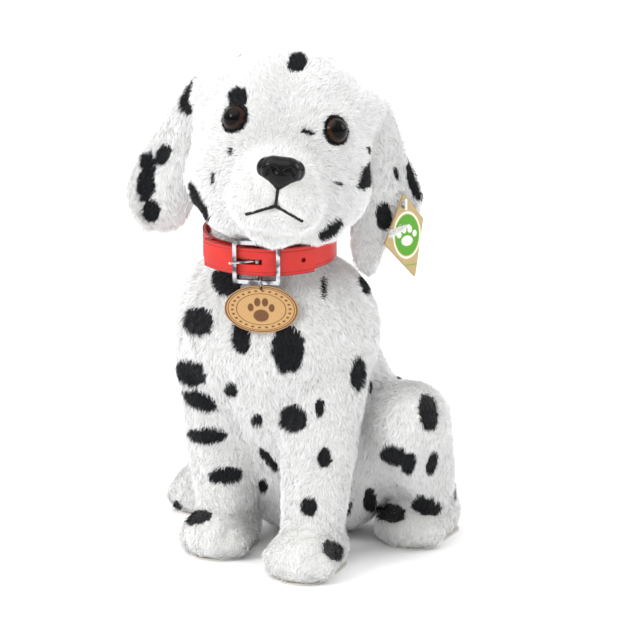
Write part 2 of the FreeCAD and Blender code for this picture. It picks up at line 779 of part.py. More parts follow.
def nose(label, frame):
    """The moulded nose: a rounded triangle with two nostrils, on a shank."""
    body = new_body(label)
    sketch = new_sketch(body, "Outline", "XY_Plane")
    half, top, low = size("nose_width") / 2, size("nose_height") / 2, -size("nose_height") / 2
    brow, foot, wing = half * NOSE_BROW, half * NOSE_FOOT, top * NOSE_WING
    corners = [(-half, wing), (-brow, top), (brow, top), (half, wing), (foot, low), (-foot, low)]
    polygon(sketch, corners)
    tie(sketch, ("Symmetric", 1, 1, 1, 2, -2), ("Symmetric", 4, 1, 4, 2, -2),
        ("Symmetric", 0, 1, 3, 1, -2))
    constrain(sketch, "width", cell("nose_width"), "DistanceX", 0, 1, 3, 1, 2 * half)
    constrain(sketch, "top", "Sizes.nose_height / 2", "DistanceY", -1, 1, 1, 1, top)
    constrain(sketch, "low", "Sizes.nose_height / 2", "DistanceY", 4, 2, -1, 1, -low)
    constrain(sketch, "brow", f"Sizes.nose_width * {NOSE_BROW}", "DistanceX", 1, 1, 1, 2, 2 * brow)
    constrain(sketch, "foot", f"Sizes.nose_width * {NOSE_FOOT}", "DistanceX", 4, 2, 4, 1, 2 * foot)
    constrain(sketch, "wing", f"Sizes.nose_height / 2 * {NOSE_WING}", "DistanceY", -1, 1, 0, 1, wing)
    pad(body, sketch, cell("nose_depth"))
    doc.recompute()
    block = body.Tip
    sides = [f"Edge{index}" for index, edge in enumerate(block.Shape.Edges, start=1)
             if abs(edge.Vertexes[0].Z - edge.Vertexes[-1].Z) > 1]
    corner = body.newObject("PartDesign::Fillet", "nose_corners")
    corner.Base = (block, sides)
    bind(corner, "Radius", cell("nose_corner"))
    body.Tip = corner
    doc.recompute()
    depth = size("nose_depth")
    rim = [f"Edge{index}" for index, edge in enumerate(corner.Shape.Edges, start=1)
           if min(vertex.Z for vertex in edge.Vertexes) > depth - 0.01]
    crown = body.newObject("PartDesign::Fillet", "nose_crown")
    crown.Base = (corner, rim)
    bind(crown, "Radius", cell("nose_fillet"))
    body.Tip = crown
    doc.recompute()
    nostrils = new_sketch(body, "Nostrils", "XY_Plane", Placement(Vector(0, 0, depth), Rotation()))
    radius = size("nostril_radius")
    for index, sign in enumerate((1, -1)):
        spot = Vector(sign * size("nostril_across"), size("nostril_up"), 0)
        nostrils.addGeometry(Part.Circle(spot, UP, radius), False)
        constrain(nostrils, f"radius_{index}", cell("nostril_radius"), "Radius", index, radius)
    dent = body.newObject("PartDesign::Pocket", "nose_nostrils")
    dent.Profile = nostrils
    bind(dent, "Length", cell("nostril_depth"))
    body.Tip = dent
    body.Placement = frame
    return body


def mouth_stitch(label):
    """The sewn mouth: a short drop under the nose, then two curved branches."""
    centre = Placement(raw_point("muzzle_tip"), Rotation())
    ring, wire = cell("muzzle_radius", "+ Sizes.thread_lift"), cell("thread_radius")
    facing = Rotation(UP, -90)
    upright = Rotation(Vector(1, 0, 0), 90)
    drop = torus_arc(f"{label}_drop", ring, wire, size("mouth_fork"), size("mouth_top"),
                     head_placement() * centre * Placement(Vector(), facing * upright))
    fork, spread = math.radians(size("mouth_fork")), math.radians(size("mouth_spread"))
    spot = Vector(0, -math.cos(fork), math.sin(fork))
    branches = [drop]
    for side, sign in SIDES.items():
        heading = Vector(sign * math.cos(spread), 0, -size("mouth_fall"))
        normal = spot.cross(heading).normalize()
        along = normal.cross(spot)
        frame = Placement(Vector(), Rotation(spot, along, normal, "XYZ"))
        branches.append(torus_arc(f"{label}_{side}", ring, wire, 0, size("mouth_branch"),
                                  head_placement() * centre * frame))
    return fuse(label, branches)


def build_head():
    """Head skin and stuffing with the eyes, nose, washers and mouth thread."""
    levels = {level: head_level(level) for level in LEVELS}
    frames = {f"eye_{side}": eye_frame(side) for side in SIDES}
    frames["nose"] = nose_frame()
    holes, rooms, fittings = [], [], []
    for name, frame in frames.items():
        back = frame * Placement(Vector(0, 0, -size("shank_length") - 1), Rotation())
        holes.append(cylinder(f"{name}_hole", cell("shank_radius", "+ 2 * Sizes.shank_play"),
                              "Sizes.shank_length + 7", back))
        rooms.append(cylinder(f"{name}_room", cell("washer_radius", "+ Sizes.slack"),
                              "Sizes.shank_length + Sizes.nose_sink", back))
        fittings.append(washer(f"{name}_washer", frame))
    for side in SIDES:
        fittings.append(button(f"eye_{side}", frames[f"eye_{side}"], "eye_radius", "eye_height"))
    shank_frame = frames["nose"] * Placement(Vector(0, 0, -size("shank_length")), Rotation())
    nose_block = nose("nose_block", frames["nose"])
    nose_shank = cylinder("nose_shank", cell("shank_radius"), "Sizes.shank_length + 8", shank_frame)
    muzzle_room = capsule("muzzle_room", face_point("muzzle_root"), face_point("muzzle_tip"),
                          cell("muzzle_root_radius", "+ Sizes.slack"),
                          cell("muzzle_radius", "+ Sizes.slack"))
    cap = cut("nose_cap", nose_block, [muzzle_room])
    fittings.append(fuse("nose", [cap, nose_shank]))
    shell = cut("head_shell", levels["outside"], [levels["inner"]])
    skin = cut("head_skin", shell, holes)
    stuffing = cut("head_stuffing", levels["core"], rooms)
    return [skin, stuffing] + fittings + [mouth_stitch("mouth_stitch")]


# ---------------------------------------------------------------- ears

def ear_frame(side):
    """Placement of an ear: X runs from the front edge back, -Y down the ear, Z out."""
    sign = SIDES[side]
    root = raw_point("ear")
    root.x *= sign
    splay, turn = math.radians(size("ear_splay")), math.radians(size("ear_turn"))
    down = Vector(sign * math.sin(splay), 0, -math.cos(splay))
    back = Vector(sign * math.sin(turn), math.cos(turn), 0)
    back = (back - down * back.dot(down)).normalize()
    out = back.cross(down * -1)
    return head_placement() * Placement(root, Rotation(back, down * -1, out, "XYZ"))


def ear_layer(label, frame, rise, low):
    """One cloth layer of an ear: a straight front edge, a flared back edge, a round lobe."""
    body = new_body(label)
    sketch = new_sketch(body, "Outline", "XY_Plane", Placement(Vector(0, 0, low), Rotation()))
    front, root = size("ear_front"), size("ear_root_width")
    lobe = size("ear_width") / 2
    swell = lobe - size("ear_length")
    middle = Vector(lobe - front, swell, 0)
    corners = [Vector(-front, swell, 0), Vector(-front, 0, 0), Vector(root - front, 0, 0),
               Vector(2 * lobe - front, swell, 0)]
    for start, end in zip(corners, corners[1:]):
        sketch.addGeometry(Part.LineSegment(start, end), False)
    edge = Part.Circle(middle, UP, lobe)
    sketch.addGeometry(Part.ArcOfCircle(edge, math.pi, 2 * math.pi), False)
    tie(sketch, ("Coincident", 0, 2, 1, 1), ("Coincident", 1, 2, 2, 1), ("Coincident", 2, 2, 3, 2),
        ("Coincident", 3, 1, 0, 1), ("Vertical", 0), ("PointOnObject", 1, 1, -1),
        ("PointOnObject", 1, 2, -1), ("Horizontal", 3, 1, 3, 3), ("Horizontal", 3, 2, 3, 3))
    constrain(sketch, "front", cell("ear_front"), "DistanceX", 1, 1, -1, 1, front)
    constrain(sketch, "root", cell("ear_root_width"), "DistanceX", 1, 1, 1, 2, root)
    constrain(sketch, "lobe", "Sizes.ear_width / 2", "Radius", 3, lobe)
    constrain(sketch, "swell", "Sizes.ear_length - Sizes.ear_width / 2",
              "DistanceY", 3, 3, -1, 1, -swell)
    pad(body, sketch, rise)
    body.Placement = frame
    return body


def build_ears():
    """Each ear is an outer fur layer sewn to a lining."""
    nodes = []
    for side, sign in SIDES.items():
        frame = ear_frame(side)
        thick = size("ear_layer")
        apart = size("ear_seam_gap")
        outer_low = apart if sign > 0 else -thick - apart
        lining_low = -thick - apart if sign > 0 else apart
        for cloth, low in (("outer", outer_low), ("lining", lining_low)):
            label = f"ear_{cloth}_{side}"
            if side != "left":
                nodes.append(ear_layer(label, frame, cell("ear_layer"), low))
                continue
            through = pin_frame() * Placement(Vector(0, 0, -2 * thick), Rotation())
            pierce = cylinder(f"{label}_hole", cell("pin_wire", "+ 2 * Sizes.ear_seam_gap"),
                              "4 * Sizes.ear_layer", through)
            flap = ear_layer(f"{label}_flap", frame, cell("ear_layer"), low)
            nodes.append(cut(label, flap, [pierce]))
    return nodes


# ---------------------------------------------------------------- collar

def round_neck(angle, radius, height=0.0):
    """Placement on the collar: X along it to the puppy's left, Z outward, Y up."""
    turn = Rotation(UP, angle - size("neck_turn"))
    outward = Rotation(Vector(1, 0, 0), 90)
    spot = turn.multVec(Vector(0, -radius, height))
    return neck_placement() * Placement(spot, turn * outward)


def band(label, inner, thick, start, stop):
    """A strap of the collar's width along an arc, in degrees from the front."""
    body = new_body(label)
    sketch = new_sketch(body, "Section")
    low, high = radius_value(inner), radius_value(inner) + size("strap_thick")
    half = size("strap_width") / 2
    polygon(sketch, [(low, -half), (high, -half), (high, half), (low, half)])
    tie(sketch, ("Horizontal", 0), ("Vertical", 1), ("Horizontal", 2),
        ("Symmetric", 0, 1, 3, 1, -1))
    constrain(sketch, "inner", inner, "DistanceX", -1, 1, 0, 1, low)
    constrain(sketch, "thick", thick, "DistanceX", 0, 1, 0, 2, high - low)
    constrain(sketch, "width", cell("strap_width"), "DistanceY", 0, 1, 3, 1, 2 * half)
    turn = revolve(body, sketch)
    turn.Angle = stop - start
    spin = Rotation(UP, start - 90 - size("neck_turn"))
    body.Placement = neck_placement() * Placement(Vector(), spin)
    return body


def build_collar():
    """The strap goes once round, and its free end lies over it through the buckle."""
    strap = band("strap_round", cell("strap_inner_radius"), cell("strap_thick"), 0, 360)
    start, stop = size("free_end_start"), size("free_end_stop")
    free = band("strap_free_end", cell("free_end_radius"), cell("strap_thick"), start, stop)
    lap = size("seam_lap")
    joint_low = size("strap_inner_radius") + size("strap_thick") - lap
    rise = size("free_end_radius") - joint_low + lap
    seam = round_neck(start + size("seam_turn"), joint_low)
    fold = box("strap_fold", cell("strap_thick", "* 2"), cell("strap_width"), f"{rise}", seam)
    turn = size("buckle_turn")
    slot_frame = round_neck(turn - size("slot_shift"), size("strap_inner_radius") - 1)
    holes = [box("prong_slot_tool", cell("slot_length"), cell("prong_slot"), cell("slot_depth"),
                 slot_frame)]
    degrees = math.degrees(size("hole_pitch") / size("free_end_radius"))
    for index in (2, 3):
        place = round_neck(turn + index * degrees, size("free_end_radius") - 1)
        holes.append(cylinder(f"strap_hole_{index}", cell("hole_radius"),
                              "Sizes.strap_thick + 2", place))
    return cut("collar_strap", fuse("strap_all", [strap, free, fold]), holes)


def build_buckle():
    """The frame of the buckle, with its centre bar dropped to hold the strap."""
    frame = round_neck(size("buckle_turn"), size("buckle_radius"))
    body = new_body("buckle_outline")
    sketch = new_sketch(body, "Outline", "XY_Plane")
    wire = size("buckle_wire")
    for inset in (0.0, wire):
        half_x = size("buckle_width") / 2 - inset
        half_y = size("buckle_height") / 2 - inset
        first = polygon(sketch, [(-half_x, -half_y), (half_x, -half_y),
                                 (half_x, half_y), (-half_x, half_y)])
        tie(sketch, ("Horizontal", first), ("Vertical", first + 1), ("Horizontal", first + 2),
            ("Vertical", first + 3), ("Symmetric", first, 1, first + 2, 1, -1, 1))
        less = " - 2 * Sizes.buckle_wire" if inset else ""
        constrain(sketch, f"width_{first}", f"Sizes.buckle_width{less}",
                  "DistanceX", first, 1, first, 2, 2 * half_x)
        constrain(sketch, f"height_{first}", f"Sizes.buckle_height{less}",
                  "DistanceY", first + 1, 1, first + 1, 2, 2 * half_y)
    plate = pad(body, sketch, cell("buckle_wire"), both=True)
    doc.recompute()
    edges = [f"Edge{index}" for index, edge in enumerate(plate.Shape.Edges, start=1)
             if abs(edge.Vertexes[0].Z - edge.Vertexes[-1].Z) > 1]
    corner = body.newObject("PartDesign::Fillet", "buckle_corners")
    corner.Base = (plate, edges)
    bind(corner, "Radius", cell("buckle_corner"))
    body.Tip = corner
    body.Placement = frame
    drop = size("buckle_radius") - size("bar_place")
    rail = (size("buckle_height") - wire) / 2
    parts = [body]
    for index, sign in enumerate((1, -1)):
        post = frame * Placement(Vector(0, sign * rail, -drop - size("bar_radius")), Rotation())
        parts.append(box(f"buckle_post_{index}", cell("buckle_wire"), cell("buckle_wire"),
                         f"{drop + size('bar_radius')}", post))
    bar_frame = frame * Placement(Vector(0, -rail, -drop), Rotation(Vector(1, 0, 0), -90))
    parts.append(cylinder("buckle_bar", cell("bar_radius"), f"{2 * rail}", bar_frame))
    return fuse("buckle_frame", parts)


def build_prong():
    """The prong: an eye round the centre bar and a pin that rests on the outer bar."""
    frame = round_neck(size("buckle_turn"), size("bar_place"))
    thick = 2 * size("prong_radius") + size("prong_eye_extra")
    eye = cylinder("prong_eye", cell("bar_radius", "+ Sizes.prong_eye_wall"), f"{thick}",
                   frame * Placement(Vector(0, -thick / 2, 0), Rotation(Vector(1, 0, 0), -90)))
    bore = cylinder("prong_bore", cell("bar_radius", "+ Sizes.prong_eye_play"), f"{thick + 2}",
                    frame * Placement(Vector(0, -thick / 2 - 1, 0), Rotation(Vector(1, 0, 0), -90)))
    reach, rise = size("prong_reach"), size("prong_rise")
    aim = Vector(-reach, 0, rise)
    weld = size("bar_radius") + size("prong_weld")
    start = aim.normalize() * weld
    shaft = frame * Placement(start, Rotation(UP, aim))
    length = math.hypot(reach, rise) - weld
    pin = cylinder("prong_pin", cell("prong_radius"), f"{length}", shaft)
    tip = doc.addObject("Part::Sphere", "prong_tip")
    bind(tip, "Radius", cell("prong_radius"))
    tip.Placement = frame * Placement(Vector(-reach, 0, rise), Rotation())
    return cut("buckle_prong", fuse("prong_all", [eye, pin, tip]), [bore])


# ---------------------------------------------------------------- tags

def rail_frame():
    """Placement on the buckle's lower rail, beside the bar's post: X along it, Y world up."""
    rail = (size("buckle_height") - size("buckle_wire")) / 2
    hung = round_neck(size("buckle_turn"), size("buckle_radius"), -rail)
    hung = hung * Placement(Vector(size("ring_shift"), 0, 0), Rotation())
    across = hung.Rotation.multVec(Vector(1, 0, 0))
    across.z = 0
    across.normalize()
    return Placement(hung.Base, Rotation(across, UP, across.cross(UP), "XYZ"))


def build_oval_tag():
    """The oval tag and the wire ring that hangs it from the lower rail."""
    frame = rail_frame()
    rail_corner = size("buckle_wire") / math.sqrt(2)
    ring_drop = size("ring_radius") - size("ring_wire") - rail_corner - size("ring_play")
    hole_drop = ring_drop + size("ring_radius")
    upright = Rotation(Vector(0, 1, 0), 90)
    ring = torus_arc("tag_ring", cell("ring_radius"), cell("ring_wire"), 0, 360,
                     frame * Placement(Vector(0, -ring_drop, 0), upright))
    body = new_body("oval_tag")
    sketch = new_sketch(body, "Outline", "XY_Plane")
    wide, tall = size("oval_width") / 2, size("oval_height") / 2
    oval = Part.Ellipse(Vector(wide, 0, 0), Vector(0, tall, 0), Vector())
    sketch.addGeometry(oval, False)
    sketch.exposeInternalGeometry(0)
    tie(sketch, ("Coincident", 0, 3, -1, 1))
    constrain(sketch, "width", cell("oval_width"), "Distance", 1, 2 * wide)
    constrain(sketch, "height", cell("oval_height"), "Distance", 2, 2 * tall)
    tie(sketch, ("Horizontal", 1))
    eye = size("oval_eye_radius")
    eye_place = tall - size("oval_eye_drop")
    count = sketch.GeometryCount
    sketch.addGeometry(Part.Circle(Vector(0, eye_place, 0), UP, eye), False)
    tie(sketch, ("PointOnObject", count, 3, -2))
    constrain(sketch, "eye", cell("oval_eye_radius"), "Radius", count, eye)
    constrain(sketch, "eye_place", "Sizes.oval_height / 2 - Sizes.oval_eye_drop",
              "DistanceY", -1, 1, count, 3, eye_place)
    pad(body, sketch, cell("oval_thick"), both=True)
    body.Placement = frame * Placement(Vector(0, -hole_drop - eye_place, 0), Rotation())
    return [body, ring]


def pin_frame():
    """Placement of the card's plastic pin in the left ear: Z out of the fur side, Y up the ear."""
    spot = Vector(size("pin_across"), -size("pin_down"), 0)
    return ear_frame("left") * Placement(spot, Rotation())


def card_hole():
    """Placement of the card's hole on the pin: X across the card, Y up it."""
    tilt = Rotation(Vector(0, 1, 0), -size("card_tilt"))
    return pin_frame() * Placement(Vector(0, 0, size("ear_layer") + size("card_stand")), tilt)


def build_ear_pin():
    """The plastic pin: a filament through the ear with a cross bar on each end."""
    frame = pin_frame()
    start = frame * Placement(Vector(0, 0, -size("pin_inside")), Rotation())
    parts = [cylinder("pin_filament", cell("pin_wire"), "Sizes.pin_inside + Sizes.pin_outside", start)]
    along = Rotation(Vector(1, 0, 0), -90)
    half = size("pin_bar_length") / 2
    for index, rise in enumerate((-size("pin_inside"), size("pin_outside"))):
        place = frame * Placement(Vector(0, -half, rise), along)
        parts.append(cylinder(f"pin_bar_{index}", cell("pin_bar"), cell("pin_bar_length"), place))
    return fuse("card_pin", parts)


def build_ear_card():
    """A folded card that hangs on the pin against the ear's fur side."""
    hole = card_hole()
    high, drop = size("card_height"), size("card_hole_drop")
    half, shoulder = size("card_width") / 2, size("card_shoulder")
    corners = [(0, drop), (half, drop - shoulder * CARD_LEAN), (half * CARD_LEAN, drop - high),
               (-half, drop - shoulder)]
    leaves = []
    sheet_thick, air = size("card_sheet"), size("card_air")
    for index, low in enumerate((-sheet_thick - air / 2, air / 2)):
        body = new_body(f"card_leaf_{index}")
        sketch = new_sketch(body, "Outline", "XY_Plane", Placement(Vector(0, 0, low), Rotation()))
        polygon(sketch, corners)
        tie(sketch, ("PointOnObject", 0, 1, -2))
        constrain(sketch, "drop", cell("card_hole_drop"), "DistanceY", -1, 1, 0, 1, drop)
        constrain(sketch, "height", cell("card_height"), "DistanceY", 2, 1, 0, 1, high)
        constrain(sketch, "right", "Sizes.card_width / 2", "DistanceX", -1, 1, 1, 1, half)
        constrain(sketch, "left", "Sizes.card_width / 2", "DistanceX", 3, 1, -1, 1, half)
        radius = size("card_hole_radius")
        sketch.addGeometry(Part.Circle(Vector(), UP, radius), False)
        tie(sketch, ("Coincident", 4, 3, -1, 1))
        constrain(sketch, "hole", cell("card_hole_radius"), "Radius", 4, radius)
        pad(body, sketch, cell("card_sheet"))
        body.Placement = hole
        leaves.append(body)
    fold_end = Vector(*corners[3], 0)
    fold_dir = fold_end - Vector(*corners[0], 0)
    fold = doc.addObject("Part::Box", "card_fold")
    fold.Length = fold_dir.Length - 2 * CARD_FOLD_MARGIN
    bind(fold, "Width", cell("card_sheet"))
    bind(fold, "Height", cell("card_air", "+ 2 * Sizes.card_sheet"))
    along = fold_dir.normalize()
    across = Vector(-along.y, along.x, 0)
    start = Vector(*corners[0], 0) + along * CARD_FOLD_MARGIN
    start.z = -sheet_thick - air / 2
    fold.Placement = hole * Placement(start, Rotation(along, across, UP, "XYZ"))
    return [fuse("ear_card", leaves + [fold]), build_ear_pin()]


# ---------------------------------------------------------------- assembly

def build_all():
    """Build every node in order and return them."""
    fill_sheet()
    nodes = build_trunk()
    for side in SIDES:
        nodes += front_leg(side)
    clearance = trunk_clearance()
    for side in SIDES:
        nodes += hind_leg(side, clearance)
    nodes += build_tail()
    nodes += build_head()
    nodes += build_ears()
    nodes += [build_collar(), build_buckle(), build_prong()]
    nodes += build_oval_tag()
    nodes += build_ear_card()
    return nodes


def check(nodes):
    """Stop if any feature failed or any node's shape is bad."""
    for item in doc.Objects:
        states = set(item.State) & {"Invalid", "Error"}
        if states:
            raise RuntimeError(f"{item.Label}: {states}")
    for node in nodes:
        shape = node.Shape
        if shape.isNull() or not shape.isValid() or not shape.Solids:
            raise RuntimeError(f"{node.Label}: bad shape")
        print(f"{node.Label:26s} {len(shape.Solids)} solid {shape.Volume / 1000:8.2f} cm3")


def write(nodes):
    """Write each node's STEP file and print the whole box."""
    os.makedirs("parts", exist_ok=True)
    whole = FreeCAD.BoundBox()
    for node in nodes:
        node.Shape.exportStep(f"parts/{node.Label}.step")
        whole.add(node.Shape.BoundBox)
    print("box", [round(v, 2) for v in (whole.XMin, whole.YMin, whole.ZMin,
                                        whole.XMax, whole.YMax, whole.ZMax)])


NODES = build_all()
doc.recompute()
check(NODES)
write(NODES)
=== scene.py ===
"""Looks of a sitting plush puppy: sewn panels, standing pile, button eyes, strap collar and paper tags."""

import json
import logging
import math
from dataclasses import dataclass, field
from enum import Enum

import bmesh
import bpy
import numpy as np
from mathutils import Matrix, Vector
from mathutils.bvhtree import BVHTree


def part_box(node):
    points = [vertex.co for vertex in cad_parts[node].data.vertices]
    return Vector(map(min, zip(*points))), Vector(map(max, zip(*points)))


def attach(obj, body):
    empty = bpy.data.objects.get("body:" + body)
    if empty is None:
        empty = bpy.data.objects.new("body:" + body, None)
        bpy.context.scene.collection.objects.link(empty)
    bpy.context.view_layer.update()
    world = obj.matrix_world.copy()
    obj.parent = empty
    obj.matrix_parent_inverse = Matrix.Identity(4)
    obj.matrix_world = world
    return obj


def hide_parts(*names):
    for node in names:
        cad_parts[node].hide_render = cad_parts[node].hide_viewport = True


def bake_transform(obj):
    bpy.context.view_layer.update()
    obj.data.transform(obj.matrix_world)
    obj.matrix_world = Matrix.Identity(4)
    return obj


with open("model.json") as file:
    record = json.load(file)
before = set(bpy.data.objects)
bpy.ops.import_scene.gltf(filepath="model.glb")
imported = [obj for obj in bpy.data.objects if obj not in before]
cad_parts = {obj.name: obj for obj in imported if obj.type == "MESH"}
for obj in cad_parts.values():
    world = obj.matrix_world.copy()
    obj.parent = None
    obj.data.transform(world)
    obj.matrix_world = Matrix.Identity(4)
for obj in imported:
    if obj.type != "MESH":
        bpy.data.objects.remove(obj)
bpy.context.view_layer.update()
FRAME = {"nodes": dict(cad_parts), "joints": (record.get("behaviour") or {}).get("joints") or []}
LOG = logging.getLogger("puppy")
MM = 0.001
SEED_SPOTS = 11
SEED_PILE = 40
SOLE_TOP = 1.2  # mm, where the cloth of a paw meets its sole
EYE_RADIUS = 7.2  # mm
EYE_RIM = 1.5  # mm of black pile round an eye
SOLE_SHARE = 0.12  # share of the strands grown at the rim of a sole
MOUTH_DROP = ((0.0, 8.0), (0.0, 13.0), (0.0, 18.2))  # mm across and below the nose
MOUTH_CORNER = ((0.0, 18.2), (4.0, 19.4), (9.5, 22.0), (15.5, 25.0))
NOSTRIL = ((3.0, -8.0, -0.6), (4.8, -8.2, 1.0), (6.8, -7.2, 0.4), (7.2, -6.2, -1.6), (9.2, -4.2, -3.6))
Triple = tuple[float, float, float]


# ---------------------------------------------------------------- numbers

def srgb(red: int, green: int, blue: int) -> Triple:
    """Turn a paint-chart colour of 0 to 255 into the linear values shaders use."""
    def line(value: float) -> float:
        return value / 12.92 if value <= 0.04045 else ((value + 0.055) / 1.055) ** 2.4
    return (line(red / 255), line(green / 255), line(blue / 255))


def unit(rows: np.ndarray) -> np.ndarray:
    """Scale every row to length one."""
    return rows / np.maximum(np.linalg.norm(rows, axis=-1, keepdims=True), 1e-9)


def smooth_step(value: np.ndarray, low: float, high: float) -> np.ndarray:
    """Ease from 0 at low to 1 at high."""
    share = np.clip((value - low) / (high - low), 0.0, 1.0)
    return share * share * (3 - 2 * share)


class Waves:
    """A smooth random field made of sine waves, the same on every run."""

    def __init__(self, seed: int, shortest: float, longest: float, count: int = 14) -> None:
        """Draw the waves.

        Args:
            seed: Number that fixes the draw.
            shortest: Shortest wavelength in millimetres.
            longest: Longest wavelength in millimetres.
            count: How many waves are added up.
        """
        draw = np.random.default_rng(seed)
        lengths = draw.uniform(shortest, longest, count)
        self.keys = unit(draw.normal(size=(count, 3))) * (2 * math.pi / lengths)[:, None]
        self.phases = draw.uniform(0, 2 * math.pi, count)
        self.gain = math.sqrt(2.0 / count)

    def value(self, points: np.ndarray) -> np.ndarray:
        """Field at each point, about -1 to 1."""
        return np.sin(points @ self.keys.T + self.phases).sum(axis=1) * self.gain

    def slope(self, points: np.ndarray) -> np.ndarray:
        """Direction in which the field rises at each point, length about 1."""
        waves = np.cos(points @ self.keys.T + self.phases)
        return waves @ unit(self.keys) * self.gain


def curve(places: np.ndarray, stops: list[float], values: list[float]) -> np.ndarray:
    """Smooth curve through values at rising stops, read at each place."""
    stops_at, heights = np.array(stops), np.array(values)
    slopes = np.gradient(heights, stops_at)
    index = np.clip(np.searchsorted(stops_at, places, side="right") - 1, 0, len(stops_at) - 2)
    span = stops_at[index + 1] - stops_at[index]
    t = (places - stops_at[index]) / span
    return ((1 + 2 * t) * (1 - t) ** 2 * heights[index] + t * (1 - t) ** 2 * span * slopes[index]
            + t * t * (3 - 2 * t) * heights[index + 1] + t * t * (t - 1) * span * slopes[index + 1])


def to_segments(points: np.ndarray, line: np.ndarray) -> np.ndarray:
    """Distance of each point from a polyline, all in millimetres."""
    best = np.full(len(points), 1e9)
    for start, end in zip(line[:-1], line[1:]):
        along = end - start
        share = np.clip(((points - start) @ along) / (along @ along), 0, 1)
        best = np.minimum(best, np.linalg.norm(points - start - share[:, None] * along, axis=1))
    return best


# ---------------------------------------------------------------- meshes

def new_object(name: str, mesh: bpy.types.Mesh) -> bpy.types.Object:
    """Put a mesh into the scene as an object."""
    item = bpy.data.objects.new(name, mesh)
    bpy.context.scene.collection.objects.link(item)
    return item


def positions(mesh: bpy.types.Mesh) -> np.ndarray:
    """Vertex positions in millimetres."""
    flat = np.zeros(len(mesh.vertices) * 3, np.float64)
    mesh.vertices.foreach_get("co", flat)
    return flat.reshape(-1, 3) / MM


def set_positions(mesh: bpy.types.Mesh, points: np.ndarray) -> None:
    """Write vertex positions given in millimetres."""
    mesh.vertices.foreach_set("co", (points * MM).astype(np.float32).ravel())
    mesh.update()


def vertex_normals(mesh: bpy.types.Mesh) -> np.ndarray:
    """Outward direction at every vertex."""
    flat = np.zeros(len(mesh.vertices) * 3, np.float32)
    mesh.vertex_normals.foreach_get("vector", flat)
    return flat.reshape(-1, 3).astype(np.float64)


def triangles(mesh: bpy.types.Mesh) -> np.ndarray:
    """Vertex numbers of every triangle."""
    mesh.calc_loop_triangles()
    flat = np.zeros(len(mesh.loop_triangles) * 3, np.int32)
    mesh.loop_triangles.foreach_get("vertices", flat)
    return flat.reshape(-1, 3)


def edge_pairs(mesh: bpy.types.Mesh) -> np.ndarray:
    """Vertex numbers of every edge."""
    flat = np.zeros(len(mesh.edges) * 2, np.int32)
    mesh.edges.foreach_get("vertices", flat)
    return flat.reshape(-1, 2)


def neighbour_mean(points: np.ndarray, pairs: np.ndarray) -> np.ndarray:
    """Mean position of the neighbours of each vertex."""
    ends = np.concatenate([pairs[:, 0], pairs[:, 1]])
    others = np.concatenate([pairs[:, 1], pairs[:, 0]])
    count = np.bincount(ends, minlength=len(points)).astype(float)
    total = np.stack([np.bincount(ends, weights=points[others, axis], minlength=len(points))
                      for axis in range(3)], axis=1)
    return total / np.maximum(count, 1)[:, None]


def surface_tree(*items: bpy.types.Object) -> BVHTree:
    """Search tree of the surfaces of several objects at rest, in metres."""
    points, faces, offset = [], [], 0
    for item in items:
        points += [vertex.co.copy() for vertex in item.data.vertices]
        faces += [tuple(offset + index for index in face.vertices) for face in item.data.polygons]
        offset = len(points)
    return BVHTree.FromPolygons(points, faces)


@dataclass(frozen=True)
class Lobe:
    """A round-ended taper of stuffing, in millimetres."""

    start: Triple
    end: Triple
    start_radius: float
    end_radius: float

    def add_to(self, gathered: bmesh.types.BMesh) -> None:
        """Add the taper's closed hull to a mesh that is being gathered."""
        hull = bmesh.new()
        for centre, radius in ((self.start, self.start_radius), (self.end, self.end_radius)):
            place = Matrix.Translation(Vector(centre) * MM)
            bmesh.ops.create_icosphere(hull, subdivisions=4, radius=radius * MM, matrix=place)
        found = bmesh.ops.convex_hull(hull, input=hull.verts[:], use_existing_faces=False)
        inside = [part for part in found["geom_interior"] if isinstance(part, bmesh.types.BMVert)]
        bmesh.ops.delete(hull, geom=inside, context="VERTS")
        shell = bpy.data.meshes.new("lobe")
        hull.to_mesh(shell)
        hull.free()
        gathered.from_mesh(shell)
        bpy.data.meshes.remove(shell)

    def distance(self, points: np.ndarray) -> np.ndarray:
        """Distance of each point from the taper's surface, negative inside."""
        start, end = np.array(self.start), np.array(self.end)
        along = end - start
        share = np.clip(((points - start) @ along) / max(along @ along, 1e-6), 0, 1)
        radius = self.start_radius + (self.end_radius - self.start_radius) * share
        return np.linalg.norm(points - start - share[:, None] * along, axis=1) - radius


def nearest(lobes: list[Lobe], points: np.ndarray) -> np.ndarray:
    """Distance of each point from the nearest of several tapers."""
    return np.min([lobe.distance(points) for lobe in lobes], axis=0)


@dataclass(frozen=True)
class Groove:
    """A sewn line or fold that sinks into a stuffed piece, in millimetres."""

    line: tuple[Triple, ...]
    width: float
    depth: float

    def sink(self, points: np.ndarray, normals: np.ndarray) -> np.ndarray:
        """Points moved inwards where they lie near the line."""
        away = to_segments(points, np.array(self.line))
        return points - normals * (self.depth * np.exp(-(away / self.width) ** 2))[:, None]


